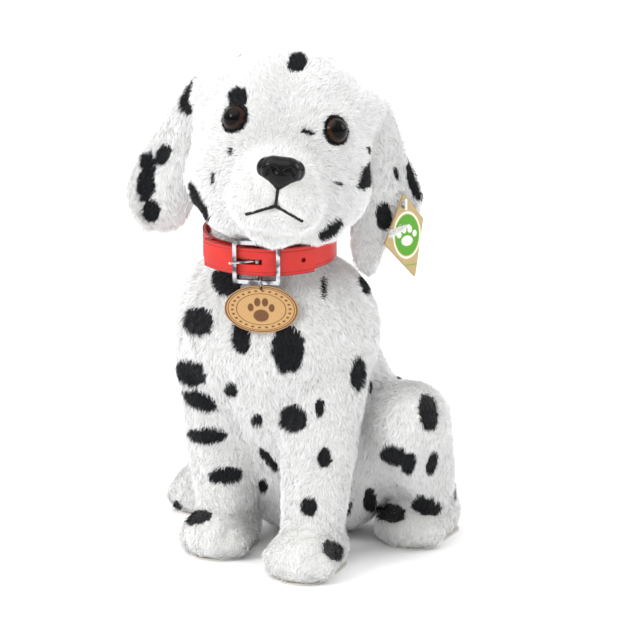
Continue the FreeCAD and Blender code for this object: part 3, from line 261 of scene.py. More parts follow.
@dataclass
class Stuffing:
    """A stuffed form that is melted together out of lobes."""

    lobes: list[Lobe]
    grooves: list[Groove] = field(default_factory=list)
    voxel: float = 2.6
    fillet_steps: int = 24

    def melt(self, name: str) -> bpy.types.Object:
        """Fuse the lobes, fill the creases between them and press the grooves in.

        Args:
            name: Name of the new object.

        Returns:
            A closed mesh object in the row frame.
        """
        gathered = bmesh.new()
        for lobe in self.lobes:
            lobe.add_to(gathered)
        rough = bpy.data.meshes.new(f"{name}_rough")
        gathered.to_mesh(rough)
        gathered.free()
        block = new_object(f"{name}_block", rough)
        remesh = block.modifiers.new("melt", "REMESH")
        remesh.mode = "VOXEL"
        remesh.voxel_size = self.voxel * MM
        graph = bpy.context.evaluated_depsgraph_get()
        mesh = bpy.data.meshes.new_from_object(block.evaluated_get(graph))
        bpy.data.objects.remove(block)
        mesh.name = name
        item = new_object(name, mesh)
        points, pairs = positions(mesh), edge_pairs(mesh)
        for _ in range(self.fillet_steps):
            normals = vertex_normals(mesh)
            pull = 0.5 * (neighbour_mean(points, pairs) - points)
            inward = np.minimum((pull * normals).sum(axis=1), 0.0)
            points = points + pull - normals * (0.85 * inward)[:, None]
            set_positions(mesh, points)
        for groove in self.grooves:
            points = groove.sink(points, vertex_normals(mesh))
            set_positions(mesh, points)
        points[:, 2] = np.maximum(points[:, 2], SOLE_TOP)
        set_positions(mesh, points)
        mesh.shade_smooth()
        return item


# ---------------------------------------------------------------- shader expressions

class Wire:
    """A shader value that takes part in ordinary arithmetic."""

    def __init__(self, board: "Board", socket: bpy.types.NodeSocket) -> None:
        """Keep the board and the socket the value comes out of."""
        self.board = board
        self.socket = socket

    def _maths(self, operation: str, first: "float | Wire", second: "float | Wire" = 0.0) -> "Wire":
        """Add one Math node and return its value."""
        return self.board.out("ShaderNodeMath", {"operation": operation}, {0: first, 1: second})

    def __add__(self, other: "float | Wire") -> "Wire":
        """Sum."""
        return self._maths("ADD", self, other)

    __radd__ = __add__

    def __sub__(self, other: "float | Wire") -> "Wire":
        """Difference."""
        return self._maths("SUBTRACT", self, other)

    def __rsub__(self, other: "float | Wire") -> "Wire":
        """Difference, the other way round."""
        return self._maths("SUBTRACT", other, self)

    def __mul__(self, other: "float | Wire") -> "Wire":
        """Product."""
        return self._maths("MULTIPLY", self, other)

    def __truediv__(self, other: "float | Wire") -> "Wire":
        """Quotient."""
        return self._maths("DIVIDE", self, other)

    def __pow__(self, power: float) -> "Wire":
        """Power."""
        return self._maths("POWER", self, power)

    def __abs__(self) -> "Wire":
        """Size without sign."""
        return self._maths("ABSOLUTE", self)

    def at_least(self, other: "float | Wire") -> "Wire":
        """The larger of two values."""
        return self._maths("MAXIMUM", self, other)

    def ease(self, low: float, high: float) -> "Wire":
        """Rise from 0 at low to 1 at high, without corners."""
        return self.board.out("ShaderNodeMapRange", {"interpolation_type": "SMOOTHSTEP"},
                              {0: self, 1: low, 2: high})


class Board:
    """The node tree of one material."""

    def __init__(self, name: str) -> None:
        """Start a material with an empty tree."""
        self.material = bpy.data.materials.new(name)
        self.material.use_nodes = True
        self.tree = self.material.node_tree
        self.tree.nodes.clear()

    def add(self, kind: str, settings: dict[str, object] | None = None,
            sockets: dict[object, object] | None = None) -> bpy.types.Node:
        """Add a node.

        Args:
            kind: Blender's node type.
            settings: Node settings, set first; "stops" fills a colour ramp.
            sockets: Values or wires by socket name or number.

        Returns:
            The new node.
        """
        node = self.tree.nodes.new(kind)
        for key, value in (settings or {}).items():
            if key == "stops":
                ramp = node.color_ramp
                while len(ramp.elements) < len(value):
                    ramp.elements.new(0.5)
                for element, (place, colour) in zip(ramp.elements, value):
                    element.position, element.color = place, (*colour, 1.0)
            else:
                setattr(node, key, value)
        for key, value in (sockets or {}).items():
            if isinstance(value, Wire):
                self.tree.links.new(value.socket, node.inputs[key])
            elif isinstance(value, tuple) and node.inputs[key].type == "RGBA":
                node.inputs[key].default_value = (*value, 1.0)
            else:
                node.inputs[key].default_value = value
        return node

    def out(self, kind: str, settings: dict[str, object] | None = None,
            sockets: dict[object, object] | None = None, output: object = 0) -> Wire:
        """Add a node and return one of its outputs."""
        return Wire(self, self.add(kind, settings, sockets).outputs[output])

    def place(self) -> Wire:
        """Position on the piece itself, in metres."""
        return self.out("ShaderNodeTexCoord", output="Object")

    def vector(self, operation: str, first: object, second: object = (0.0, 0.0, 0.0),
               output: object = 0) -> Wire:
        """Vector Math on two vectors."""
        return self.out("ShaderNodeVectorMath", {"operation": operation}, {0: first, 1: second}, output)

    def along(self, origin: Vector, axis: Vector) -> Wire:
        """Millimetres from an origin along an axis."""
        moved = self.vector("SUBTRACT", self.place(), tuple(origin))
        return self.vector("DOT_PRODUCT", moved, tuple(axis / MM), "Value")

    def noise(self, scale: float, detail: float = 2.0, stretch: Triple = (1.0, 1.0, 1.0)) -> Wire:
        """Cloudy noise; scale is the number of features per metre."""
        spot = self.vector("MULTIPLY", self.place(), stretch)
        return self.out("ShaderNodeTexNoise", None, {"Vector": spot, "Scale": scale, "Detail": detail})

    def mix(self, mask: object, low: object, high: object) -> Wire:
        """Blend two colours by a mask."""
        return self.out("ShaderNodeMix", {"data_type": "RGBA"}, {0: mask, 6: low, 7: high}, 2)

    def bump(self, height: Wire, depth: float) -> Wire:
        """Normal of a surface raised by a height of 0 to 1; depth is in millimetres."""
        return self.out("ShaderNodeBump", None, {"Height": height, "Distance": depth * MM, "Strength": 1.0})

    def oval(self, across: Wire, up: Wire, centre: tuple[float, float], radii: tuple[float, float]) -> Wire:
        """Distance from an oval's middle, 1 on its outline."""
        wide = ((across - centre[0]) / radii[0]) ** 2
        tall = ((up - centre[1]) / radii[1]) ** 2
        return (wide + tall) ** 0.5

    def paw(self, across: Wire, up: Wire, centre: tuple[float, float], size: float) -> Wire:
        """Mask of a plain paw print: a pad and four toes."""
        x, y = centre
        parts = [((x, y - 0.25 * size), (0.34 * size, 0.27 * size))]
        for side, rise, radius in ((-0.46, 0.10, 0.13), (-0.17, 0.34, 0.14),
                                   (0.17, 0.34, 0.14), (0.46, 0.10, 0.13)):
            parts.append(((x + side * size, y + rise * size), (radius * size, 1.35 * radius * size)))
        mask = None
        for middle, radii in parts:
            part = 1 - self.oval(across, up, middle, radii).ease(0.88, 1.12)
            mask = part if mask is None else mask.at_least(part)
        return mask

    def finish(self, colour: object, roughness: object, normal: Wire | None = None,
               **constants: object) -> bpy.types.Material:
        """Close the tree with a Principled shader.

        Args:
            colour: Colour or wire for Base Color.
            roughness: Number or wire.
            normal: Wire for the normal, if any.
            **constants: Other sockets by name, with _ for a space.

        Returns:
            The finished material.
        """
        sockets: dict[object, object] = {"Base Color": colour, "Roughness": roughness}
        sockets.update({key.replace("_", " "): value for key, value in constants.items()})
        if normal is not None:
            sockets["Normal"] = normal
        shader = self.add("ShaderNodeBsdfPrincipled", None, sockets)
        end = self.add("ShaderNodeOutputMaterial")
        self.tree.links.new(shader.outputs[0], end.inputs[0])
        return self.material


# ---------------------------------------------------------------- finishes

@dataclass(frozen=True)
class Cloth:
    """Woven backing of the plush, dyed in spots."""

    white: Triple = srgb(238, 237, 234)
    black: Triple = srgb(30, 31, 34)

    def make(self) -> bpy.types.Material:
        """Build the finish."""
        board = Board("plush_backing")
        spot = board.out("ShaderNodeAttribute", {"attribute_name": "_spot"}, None, "Fac")
        knit = board.noise(900.0, 3.0)
        pale = board.mix(knit, self.white, tuple(0.88 * value for value in self.white))
        colour = board.mix(spot.ease(0.35, 0.65), pale, self.black)
        return board.finish(colour, 0.95, board.bump(knit, 0.3), Sheen_Weight=0.3, Sheen_Roughness=0.5)


@dataclass(frozen=True)
class PileHair:
    """Polyester pile: each strand carries its tone across U, runs root to tip along V and has painted shade
    at its root.
    """

    white: Triple = srgb(253, 253, 252)
    grey: Triple = srgb(240, 241, 242)
    soot: Triple = srgb(44, 46, 50)
    black: Triple = srgb(20, 21, 24)

    def make(self) -> bpy.types.Material:
        """Build the finish."""
        board = Board("plush_pile")
        strand = board.out("ShaderNodeUVMap", {"uv_map": "OFBake"})
        parts = board.add("ShaderNodeSeparateXYZ", None, {0: strand})
        tone, height = Wire(board, parts.outputs[0]), Wire(board, parts.outputs[1])
        stops = [(0.0, self.white), (0.3, self.grey), (0.48, self.grey),
                 (0.52, self.soot), (1.0, self.black)]
        dye = board.out("ShaderNodeValToRGB", {"stops": stops}, {0: tone})
        # painted shade: each strand's colour darkens towards its root, to about two thirds at the root
        dye_with_painted_root_shade = board.mix(height.ease(-0.9, 0.6), (0.0, 0.0, 0.0), dye)
        return board.finish(dye_with_painted_root_shade, 0.8, None, Specular_IOR_Level=0.2, Sheen_Weight=0.3,
                            Sheen_Roughness=0.4)


@dataclass(frozen=True)
class SolePlush:
    """Short off-white plush under the paws."""

    colour: Triple = srgb(232, 228, 220)

    def make(self) -> bpy.types.Material:
        """Build the finish."""
        board = Board("sole_plush")
        nap = board.noise(1400.0, 4.0)
        tone = board.mix(nap, self.colour, tuple(0.7 * value for value in self.colour))
        return board.finish(tone, 0.95, board.bump(nap, 0.5), Sheen_Weight=0.4)


@dataclass(frozen=True)
class Thread:
    """Twisted sewing thread, its colour painted darker in the grooves of the twist as painted shade."""

    name: str
    colour: Triple

    def make(self) -> bpy.types.Material:
        """Build the finish."""
        board = Board(self.name)
        place = board.vector("MULTIPLY", board.place(), (1.0, 1.0, 1.6))
        twist = board.out("ShaderNodeTexWave", {"bands_direction": "DIAGONAL"},
                          {"Vector": place, "Scale": 700.0, "Distortion": 1.5}, 1)
        # painted shade: the colour drops to half in the low grooves of the twist, where the bump sinks
        tone = board.mix(twist, tuple(0.5 * value for value in self.colour), self.colour)
        return board.finish(tone, 0.7, board.bump(twist, 0.15))


@dataclass(frozen=True)
class Leatherette:
    """Coated strap material with a fine grain and burnished edges."""

    colour: Triple = srgb(206, 28, 14)
    worn: Triple = srgb(148, 14, 10)

    def make(self, origin: Vector, axis: Vector, half_width: float) -> bpy.types.Material:
        """Build the finish.

        Args:
            origin: Middle of the strap's ring.
            axis: Direction across the strap's width.
            half_width: Half the strap's width in millimetres.
        """
        board = Board("red_strap")
        across = abs(board.along(origin, axis))
        grain = board.out("ShaderNodeTexVoronoi", None, {"Vector": board.place(), "Scale": 1500.0})
        cloud = board.noise(120.0, 4.0)
        edge = across.ease(half_width - 1.0, half_width - 0.1)
        crease = 1 - abs(across - (half_width - 2.0)).ease(0.0, 0.55)
        tone = board.mix(edge.at_least(crease * 0.55), self.colour, self.worn)
        tone = board.mix(cloud.ease(0.45, 0.75) * 0.25, tone, self.worn)
        relief = grain * 0.35 + cloud * 0.2 - crease * 0.8
        rough = 0.36 + grain * 0.12 + cloud * 0.08
        return board.finish(tone, rough, board.bump(relief, 0.25), Specular_IOR_Level=0.5)


@dataclass(frozen=True)
class Steel:
    """Bright plated wire with faint polishing marks and dark blotches of painted reflection in its colour."""

    name: str = "plated_steel"

    def make(self) -> bpy.types.Material:
        """Build the finish."""
        board = Board(self.name)
        marks = board.noise(900.0, 3.0, (1.0, 1.0, 6.0))
        # painted reflection: large noise blotches darken the metal's colour to stand in for dark surroundings
        # mirrored in it
        painted_reflection = board.noise(190.0, 1.0).ease(0.36, 0.6)
        bright = board.mix(marks, srgb(214, 214, 217), srgb(176, 177, 181))
        painted_reflection_tone = board.mix(painted_reflection, srgb(84, 84, 90), bright)
        return board.finish(painted_reflection_tone, 0.14 + marks * 0.16, board.bump(marks, 0.02), Metallic=1.0)


@dataclass(frozen=True)
class EyeResin:
    """Moulded safety eye: black pupil, dark amber ring, dark rim, under a clear glaze."""

    name: str
    radius: float

    def make(self, centre: Vector, axis: Vector) -> bpy.types.Material:
        """Build the finish around the eye's own axis."""
        board = Board(self.name)
        moved = board.vector("SUBTRACT", board.place(), tuple(centre))
        cross = board.vector("CROSS_PRODUCT", moved, tuple(axis / MM))
        away = board.vector("LENGTH", cross, output="Value") / self.radius
        flecks = board.noise(1800.0, 4.0)
        amber = board.mix(flecks, srgb(60, 36, 22), srgb(26, 16, 10))
        ring = board.mix(away.ease(0.66, 0.76), srgb(3, 3, 3), amber)
        colour = board.mix(away.ease(0.9, 0.96), ring, srgb(6, 5, 5))
        return board.finish(colour, 0.04 + flecks * 0.02, None, Specular_IOR_Level=0.14)


@dataclass(frozen=True)
class NoseVinyl:
    """Moulded black nose with a fine leathery surface and a wet shine."""

    def make(self) -> bpy.types.Material:
        """Build the finish."""
        board = Board("nose_plastic")
        cells = board.out("ShaderNodeTexVoronoi", {"feature": "SMOOTH_F1"},
                          {"Vector": board.place(), "Scale": 900.0})
        tone = board.mix(cells, srgb(7, 7, 8), srgb(16, 16, 18))
        return board.finish(tone, 0.12 + cells * 0.12, board.bump(cells, 0.04), Specular_IOR_Level=0.2)


@dataclass(frozen=True)
class Plastic:
    """Plain moulded plastic with faint flow marks."""

    name: str
    colour: Triple
    roughness: float = 0.35

    def make(self) -> bpy.types.Material:
        """Build the finish."""
        board = Board(self.name)
        flow = board.noise(300.0, 3.0)
        tone = board.mix(flow, self.colour, tuple(0.85 * value for value in self.colour))
        return board.finish(tone, self.roughness + flow * 0.1, board.bump(flow, 0.05))


@dataclass(frozen=True)
class TagAxes:
    """Axes of a flat tag: its middle, across and up."""

    origin: Vector
    across: Vector
    up: Vector


@dataclass(frozen=True)
class KraftOval:
    """Kraft board printed with double border lines and a paw print."""

    kraft: Triple = srgb(206, 163, 108)
    ink: Triple = srgb(92, 50, 24)

    def make(self, axes: TagAxes, half: tuple[float, float]) -> bpy.types.Material:
        """Build the finish.

        Args:
            axes: The tag's own axes.
            half: Half its width and height in millimetres.
        """
        board = Board("tag_board")
        x, y = board.along(axes.origin, axes.across), board.along(axes.origin, axes.up)
        fibre = board.noise(700.0, 5.0, (1.0, 1.0, 3.0))
        speck = board.noise(2600.0, 2.0).ease(0.62, 0.72)
        away = board.oval(x, y, (0.0, 0.0), half)
        line = None
        for place, width in ((0.95, 0.022), (0.885, 0.012), (0.66, 0.012)):
            ring = 1 - abs(away - place).ease(width * 0.6, width * 1.4)
            line = ring if line is None else line.at_least(ring)
        stitches = board.out("ShaderNodeMath", {"operation": "ARCTAN2"}, {0: y * (half[0] / half[1]), 1: x})
        dashes = board.out("ShaderNodeMath", {"operation": "SINE"}, {0: stitches * 26.0}).ease(0.1, 0.4)
        dashes = dashes * (1 - abs(away - 0.775).ease(0.02, 0.05))
        print_mask = line.at_least(dashes).at_least(board.paw(x, y, (0.0, -0.4), 13.0))
        base = board.mix(fibre, self.kraft, tuple(0.72 * value for value in self.kraft))
        base = board.mix(speck * 0.5, base, tuple(0.45 * value for value in self.kraft))
        colour = board.mix(print_mask * (0.8 + fibre * 0.2), base, self.ink)
        return board.finish(colour, 0.72 + fibre * 0.15, board.bump(fibre - print_mask * 0.4, 0.15))


@dataclass(frozen=True)
class KraftCard:
    """Folded kraft card printed with a green oval and a pale paw print."""

    kraft: Triple = srgb(201, 176, 128)
    green: Triple = srgb(88, 160, 48)
    pale: Triple = srgb(236, 242, 222)

    def make(self, axes: TagAxes) -> bpy.types.Material:
        """Build the finish.

        Args:
            axes: The card's hole, across and up.
        """
        board = Board("kraft_card")
        x, y = board.along(axes.origin, axes.across), board.along(axes.origin, axes.up)
        fibre = board.noise(800.0, 5.0, (1.0, 1.0, 2.5))
        speck = board.noise(2400.0, 2.0).ease(0.62, 0.72)
        away = board.oval(x, y, (1.6, -18.0), (9.0, 13.5))
        inside = 1 - away.ease(0.86, 0.9)
        rim = (1 - away.ease(1.0, 1.04)) - (1 - away.ease(0.9, 0.94))
        base = board.mix(fibre, self.kraft, tuple(0.75 * value for value in self.kraft))
        base = board.mix(speck * 0.4, base, tuple(0.5 * value for value in self.kraft))
        colour = board.mix(inside, base, self.green)
        colour = board.mix(rim * 0.9, colour, self.pale)
        colour = board.mix(board.paw(x, y, (1.6, -18.5), 11.0), colour, self.pale)
        band = (1 - abs(y + 35.5).ease(0.35, 0.7)) * (1 - abs(x - 5.0).ease(4.0, 4.4))
        colour = board.mix(band * 0.6, colour, self.green)
        return board.finish(colour, 0.7 + fibre * 0.15, board.bump(fibre, 0.12))


# ---------------------------------------------------------------- spots

class Panel(Enum):
    """Plush panels that carry spots."""

    HEAD = "head"
    EAR_LEFT = "ear_left"
    EAR_RIGHT = "ear_right"
    TORSO = "torso"
    TAIL = "tail"


@dataclass(frozen=True)
class Spot:
    """A dyed spot as laid out facing the puppy: across and height of its middle, size and tilt."""

    panel: Panel
    across: float
    height: float
    wide: float
    tall: float
    tilt: float = 0.0


@dataclass(frozen=True)
class RoundSpot:
    """A dyed spot on a side that the layout doesn't face: its middle and its half sizes."""

    panel: Panel
    centre: Triple
    level: float
    rise: float


def facing_spots(panel: Panel, *rows: tuple[float, ...]) -> list[Spot]:
    """Facing spots of one panel; a row is across, height, wide, tall and, if any, tilt."""
    return [Spot(panel, *row) for row in rows]


def round_spots(panel: Panel, *rows: tuple[float, ...]) -> list[RoundSpot]:
    """Spots of one panel elsewhere; a row is x, y, z, level and rise."""
    return [RoundSpot(panel, row[:3], *row[3:]) for row in rows]


H, L, R, T, C = Panel.HEAD, Panel.EAR_LEFT, Panel.EAR_RIGHT, Panel.TORSO, Panel.TAIL
FACING_SPOTS = [
    # forehead, brow and cheeks
    *facing_spots(H, (-9, 291, 10, 12, -20), (-43, 271, 11, 12), (-48, 292, 21, 3, 27),
          (-73, 276, 20, 10, 50), (-70, 249, 16, 8, 100), (-65, 211, 24, 6, 116), (-81, 218, 6, 3, 60),
          (-47, 240, 3, 5), (-57, 225, 2, 7), (-3, 251, 8, 3, -15), (14, 222, 6, 2, -20), (32, 241, 2, 5),
          (31, 226, 17, 8, 65), (10, 195, 16, 7, 40)),
    # ears
    *facing_spots(R, (-68, 272, 22, 12, 52)),
    *facing_spots(H, (-70, 248, 17, 8, 65)),
    *facing_spots(R, (-86, 239, 13, 8, 62), (-96, 222, 20, 11, 85), (-93, 206, 13, 10, 80)),
    *facing_spots(L, (59, 223, 23, 8, 105), (41, 203, 17, 9, 95), (48, 228, 7, 3, 100)),
    # chest
    *facing_spots(T, (-49, 165, 17, 17), (-66, 142, 17, 16), (-41, 133, 11, 19), (-14, 126, 18, 27),
          (-70, 112, 19, 14, -25), (-47, 103, 8, 9), (-65, 96, 20, 10, -25), (26, 112, 9, 20),
          (42, 116, 7, 18), (33, 104, 2, 8), (6, 161, 3, 13), (29, 163, 13, 5, -70)),
    # front legs and paws
    *facing_spots(T, (-61, 76, 22, 9), (-50, 53, 19, 10, 5), (-32, 85, 7, 7), (-25, 62, 18, 5, -50),
          (-29, 47, 6, 8), (-11, 86, 16, 16), (4, 92, 5, 11), (7, 63, 8, 12), (-2, 35, 9, 11),
          (19, 32, 15, 4, 60), (-66, 28, 16, 8, 15), (12, 9, 14, 10, -40), (-78, 35, 5, 6)),
    # left hind leg and paw
    *facing_spots(T, (50, 107, 3, 5), (67, 89, 11, 21, 10), (47, 65, 16, 12, -20), (56, 60, 8, 13, -15),
          (69, 60, 6, 14, -15), (33, 39, 8, 14), (45, 31, 19, 11, -10), (66, 35, 17, 11, -15)),
]
ROUND_SPOTS = [
    # back of the head
    *round_spots(H, (40, -15, 268, 8, 9), (15, -8, 284, 9, 7), (-12, -20, 262, 7, 10), (22, -4, 242, 8, 7),
          (52, -32, 238, 6, 9), (-32, -38, 236, 7, 8)),
    # backs of the ears and their linings stay mostly white
    *round_spots(L, (78, -4, 222, 6, 9)),
    *round_spots(R, (-66, -74, 232, 6, 8)),
    # shoulders and back
    *round_spots(T, (8, 5, 165, 10, 11), (-28, 2, 140, 9, 12), (34, 6, 142, 8, 10), (4, 30, 138, 12, 9),
          (-36, 32, 114, 9, 10), (36, 40, 116, 11, 9), (0, 58, 116, 10, 11), (-22, 64, 98, 8, 9),
          (24, 70, 92, 9, 12), (-2, 76, 74, 11, 9), (-38, 62, 62, 10, 12), (40, 66, 56, 9, 9),
          (10, 76, 38, 9, 8), (-16, 72, 28, 8, 8), (-48, -14, 118, 7, 10)),
    # outer thighs and hind paws
    *round_spots(T, (70, 18, 74, 9, 12), (66, 46, 52, 11, 9), (78, -4, 52, 7, 9), (56, 50, 84, 8, 8),
          (80, 26, 30, 9, 7), (-66, 20, 82, 10, 12), (-70, 44, 52, 10, 9), (-76, 8, 46, 7, 9),
          (-88, 30, 28, 9, 8), (-60, 0, 62, 7, 8), (-94, 46, 16, 8, 7), (-48, 48, 92, 8, 8)),
    # outsides of the front legs
    *round_spots(T, (56, -40, 66, 6, 9), (50, -30, 40, 7, 7), (-44, -26, 60, 6, 8)),
    # tail
    *round_spots(C, (4, 90, 26, 8, 7), (-14, 112, 18, 8, 8), (-40, 118, 14, 8, 7)),
]


@dataclass(frozen=True)
class Outlook:
    """The place the puppy is looked at from: where it stands and what it faces, in millimetres."""

    eye: Triple = (577.9, -1230.3, 426.3)
    target: Triple = (22.25, -38.66, 146.83)
    lens: float = 133.7

    def axes(self) -> tuple[np.ndarray, np.ndarray, np.ndarray, float]:
        """Right, up and forward directions, and the distance to the target."""
        ahead = np.array(self.target) - np.array(self.eye)
        distance = float(np.linalg.norm(ahead))
        ahead = ahead / distance
        right = unit(np.cross(ahead, (0.0, 0.0, 1.0)))
        return right, np.cross(right, ahead), ahead, distance

    def layout(self, points: np.ndarray) -> tuple[np.ndarray, np.ndarray]:
        """Across and height of points on the upright layout sheet through the target."""
        right, up, ahead, distance = self.axes()
        moved = points - np.array(self.eye)
        scale = distance / (moved @ ahead)
        return moved @ right * scale, moved @ up * scale + self.target[2]

    def ray(self, across: float, height: float) -> Vector:
        """Direction from the eye through a place on the layout sheet."""
        right, up, ahead, distance = self.axes()
        return Vector(unit(ahead * distance + right * across + up * (height - self.target[2])))


class Coat:
    """The dye pattern, laid on the panels once their forms exist."""

    def __init__(self, outlook: Outlook, panels: dict[Panel, list[bpy.types.Object]],
                 rims: list[tuple[Vector, Vector, float]]) -> None:
        """Find where each spot falls.

        Args:
            outlook: Where the facing spots are laid out from.
            panels: Objects that make up each panel.
            rims: Middle, axis and radius in millimetres of the dark rim of each eye.
        """
        self.outlook = outlook
        self.rims = rims
        self.ragged = Waves(SEED_SPOTS, 3.0, 9.0)
        self.centres: dict[Spot, np.ndarray] = {}
        eye = Vector(outlook.eye) * MM
        trees = {panel: surface_tree(*items) for panel, items in panels.items()}
        for spot in FACING_SPOTS:
            aim = outlook.ray(spot.across, spot.height)
            hit = trees[spot.panel].ray_cast(eye, aim)[0]
            if hit is None:
                depth = (Vector(outlook.target) * MM - eye).length
                hit = trees[spot.panel].find_nearest(eye + aim * depth)[0]
            self.centres[spot] = np.array(hit) / MM

    def tone(self, panel: Panel, points: np.ndarray) -> np.ndarray:
        """How far inside a spot each point lies; above 0 is black."""
        across, height = self.outlook.layout(points)
        ragged = 0.05 * self.ragged.value(points)
        depth = np.full(len(points), -1.0)
        for spot in FACING_SPOTS:
            if spot.panel is not panel:
                continue
            turn = math.radians(spot.tilt)
            x, y = across - spot.across, height - spot.height
            wide = (x * math.cos(turn) + y * math.sin(turn)) / (spot.wide / 2)
            tall = (y * math.cos(turn) - x * math.sin(turn)) / (spot.tall / 2)
            reach = 0.95 * max(spot.wide, spot.tall) + 3.0
            near = np.linalg.norm(points - self.centres[spot], axis=1) < reach
            inside = 1 - (np.abs(wide) ** 2.3 + np.abs(tall) ** 2.3) ** (1 / 2.3)
            depth = np.maximum(depth, np.where(near, inside + ragged, -1.0))
        for spot in ROUND_SPOTS:
            if spot.panel is panel:
                moved = points - np.array(spot.centre)
                level = (moved[:, 0] ** 2 + moved[:, 1] ** 2) / spot.level ** 2
                inside = 1 - np.sqrt(level + (moved[:, 2] / spot.rise) ** 2)
                depth = np.maximum(depth, inside + ragged)
        if panel is Panel.HEAD:
            for centre, axis, radius in self.rims:
                moved = points - np.array(centre) / MM
                flat = np.linalg.norm(np.cross(moved, np.array(axis)), axis=1)
                front = np.linalg.norm(moved, axis=1) < radius + 9
                inside = (radius + EYE_RIM - flat) / 3 + ragged * 0.4
                depth = np.maximum(depth, np.where(front, inside, -1.0))
        return depth

    def dye(self, item: bpy.types.Object, panel: Panel) -> None:
        """Write the pattern onto a piece's backing."""
        marks = item.data.attributes.new("_spot", "FLOAT", "POINT")
        depth = self.tone(panel, positions(item.data))
        marks.data.foreach_set("value", smooth_step(depth, -0.1, 0.1).astype(np.float32))


# ---------------------------------------------------------------- how pieces move

@dataclass(frozen=True)
class Hold:
    """What a piece moves with: one body; a piece that also names a second body and the ends of a bend, in
    millimetres, keeps its place and is not attached.
    """

    body: str
    onto: str = ""
    start: Triple = (0.0, 0.0, 0.0)
    end: Triple = (0.0, 0.0, 0.0)

    def take(self, item: bpy.types.Object) -> None:
        """Attach a finished piece to its body, or, if it names a second body, bake its place into its mesh
        instead.
        """
        if self.onto:
            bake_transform(item)
        else:
            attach(item, self.body)


# ---------------------------------------------------------------- pile

@dataclass(frozen=True)
class Nap:
    """How the pile lies over one region: the way it is combed and its length in millimetres."""

    lobe: Lobe
    comb: Triple
    length: float


@dataclass
class Brushing:
    """The lie of the pile over a whole panel."""

    naps: list[Nap]
    whorl: Triple | None = None
    near_length: float = 2.6
    near_reach: float = 46.0

    def lie(self, points: np.ndarray) -> tuple[np.ndarray, np.ndarray]:
        """Comb direction and strand length at each point."""
        gaps = np.stack([nap.lobe.distance(points) for nap in self.naps], axis=1)
        weights = np.exp(-np.clip(gaps, -6, 60) / 5)
        weights = weights / weights.sum(axis=1, keepdims=True)
        comb = weights @ np.array([nap.comb for nap in self.naps])
        length = weights @ np.array([nap.length for nap in self.naps])
        if self.whorl is not None:
            away = points - np.array(self.whorl)
            reach = np.linalg.norm(away, axis=1)
            comb = unit(away) + 0.45 * comb
            ease = smooth_step(reach, 10.0, self.near_reach)
            length = self.near_length + (length - self.near_length) * ease
        return comb, length


class Clearing:
    """Hard pieces that the pile must not grow through."""

    def __init__(self, hard: list[bpy.types.Object], bare: list[bpy.types.Object]) -> None:
        """Keep search trees and boxes.

        Args:
            hard: Pieces that strands stop short of.
            bare: Pieces with no strand rooted right beside them.
        """
        self.hard = surface_tree(*hard)
        self.bare = surface_tree(*bare)
        self.boxes = [self._box(item) for item in hard + bare]

    @staticmethod
    def _box(item: bpy.types.Object) -> tuple[np.ndarray, np.ndarray]:
        """Lowest and highest corner with room for a strand, in millimetres."""
        points = positions(item.data)
        return points.min(axis=0) - 9.0, points.max(axis=0) + 9.0

    def trim(self, roots: np.ndarray, tips: np.ndarray) -> np.ndarray:
        """Share of its length that each strand keeps; 0 where none grows."""
        share = np.ones(len(roots))
        close = np.zeros(len(roots), bool)
        for low, high in self.boxes:
            close |= ((roots > low) & (roots < high)).all(axis=1)
        for index in np.nonzero(close)[0]:
            root, tip = Vector(roots[index]) * MM, Vector(tips[index]) * MM
            gap = self.bare.find_nearest(root, 5 * MM)[3]
            if gap is not None:
                share[index] = 0.0 if gap < 0.7 * MM else min(1.0, 0.35 + gap / (7 * MM))
            reach = (tip - root).length * 1.25
            hit = self.hard.ray_cast(root, tip - root, reach)[3]
            if hit is not None:
                kept = 0.8 * hit / reach
                share[index] = min(share[index], kept if kept > 0.22 else 0.0)
        return share


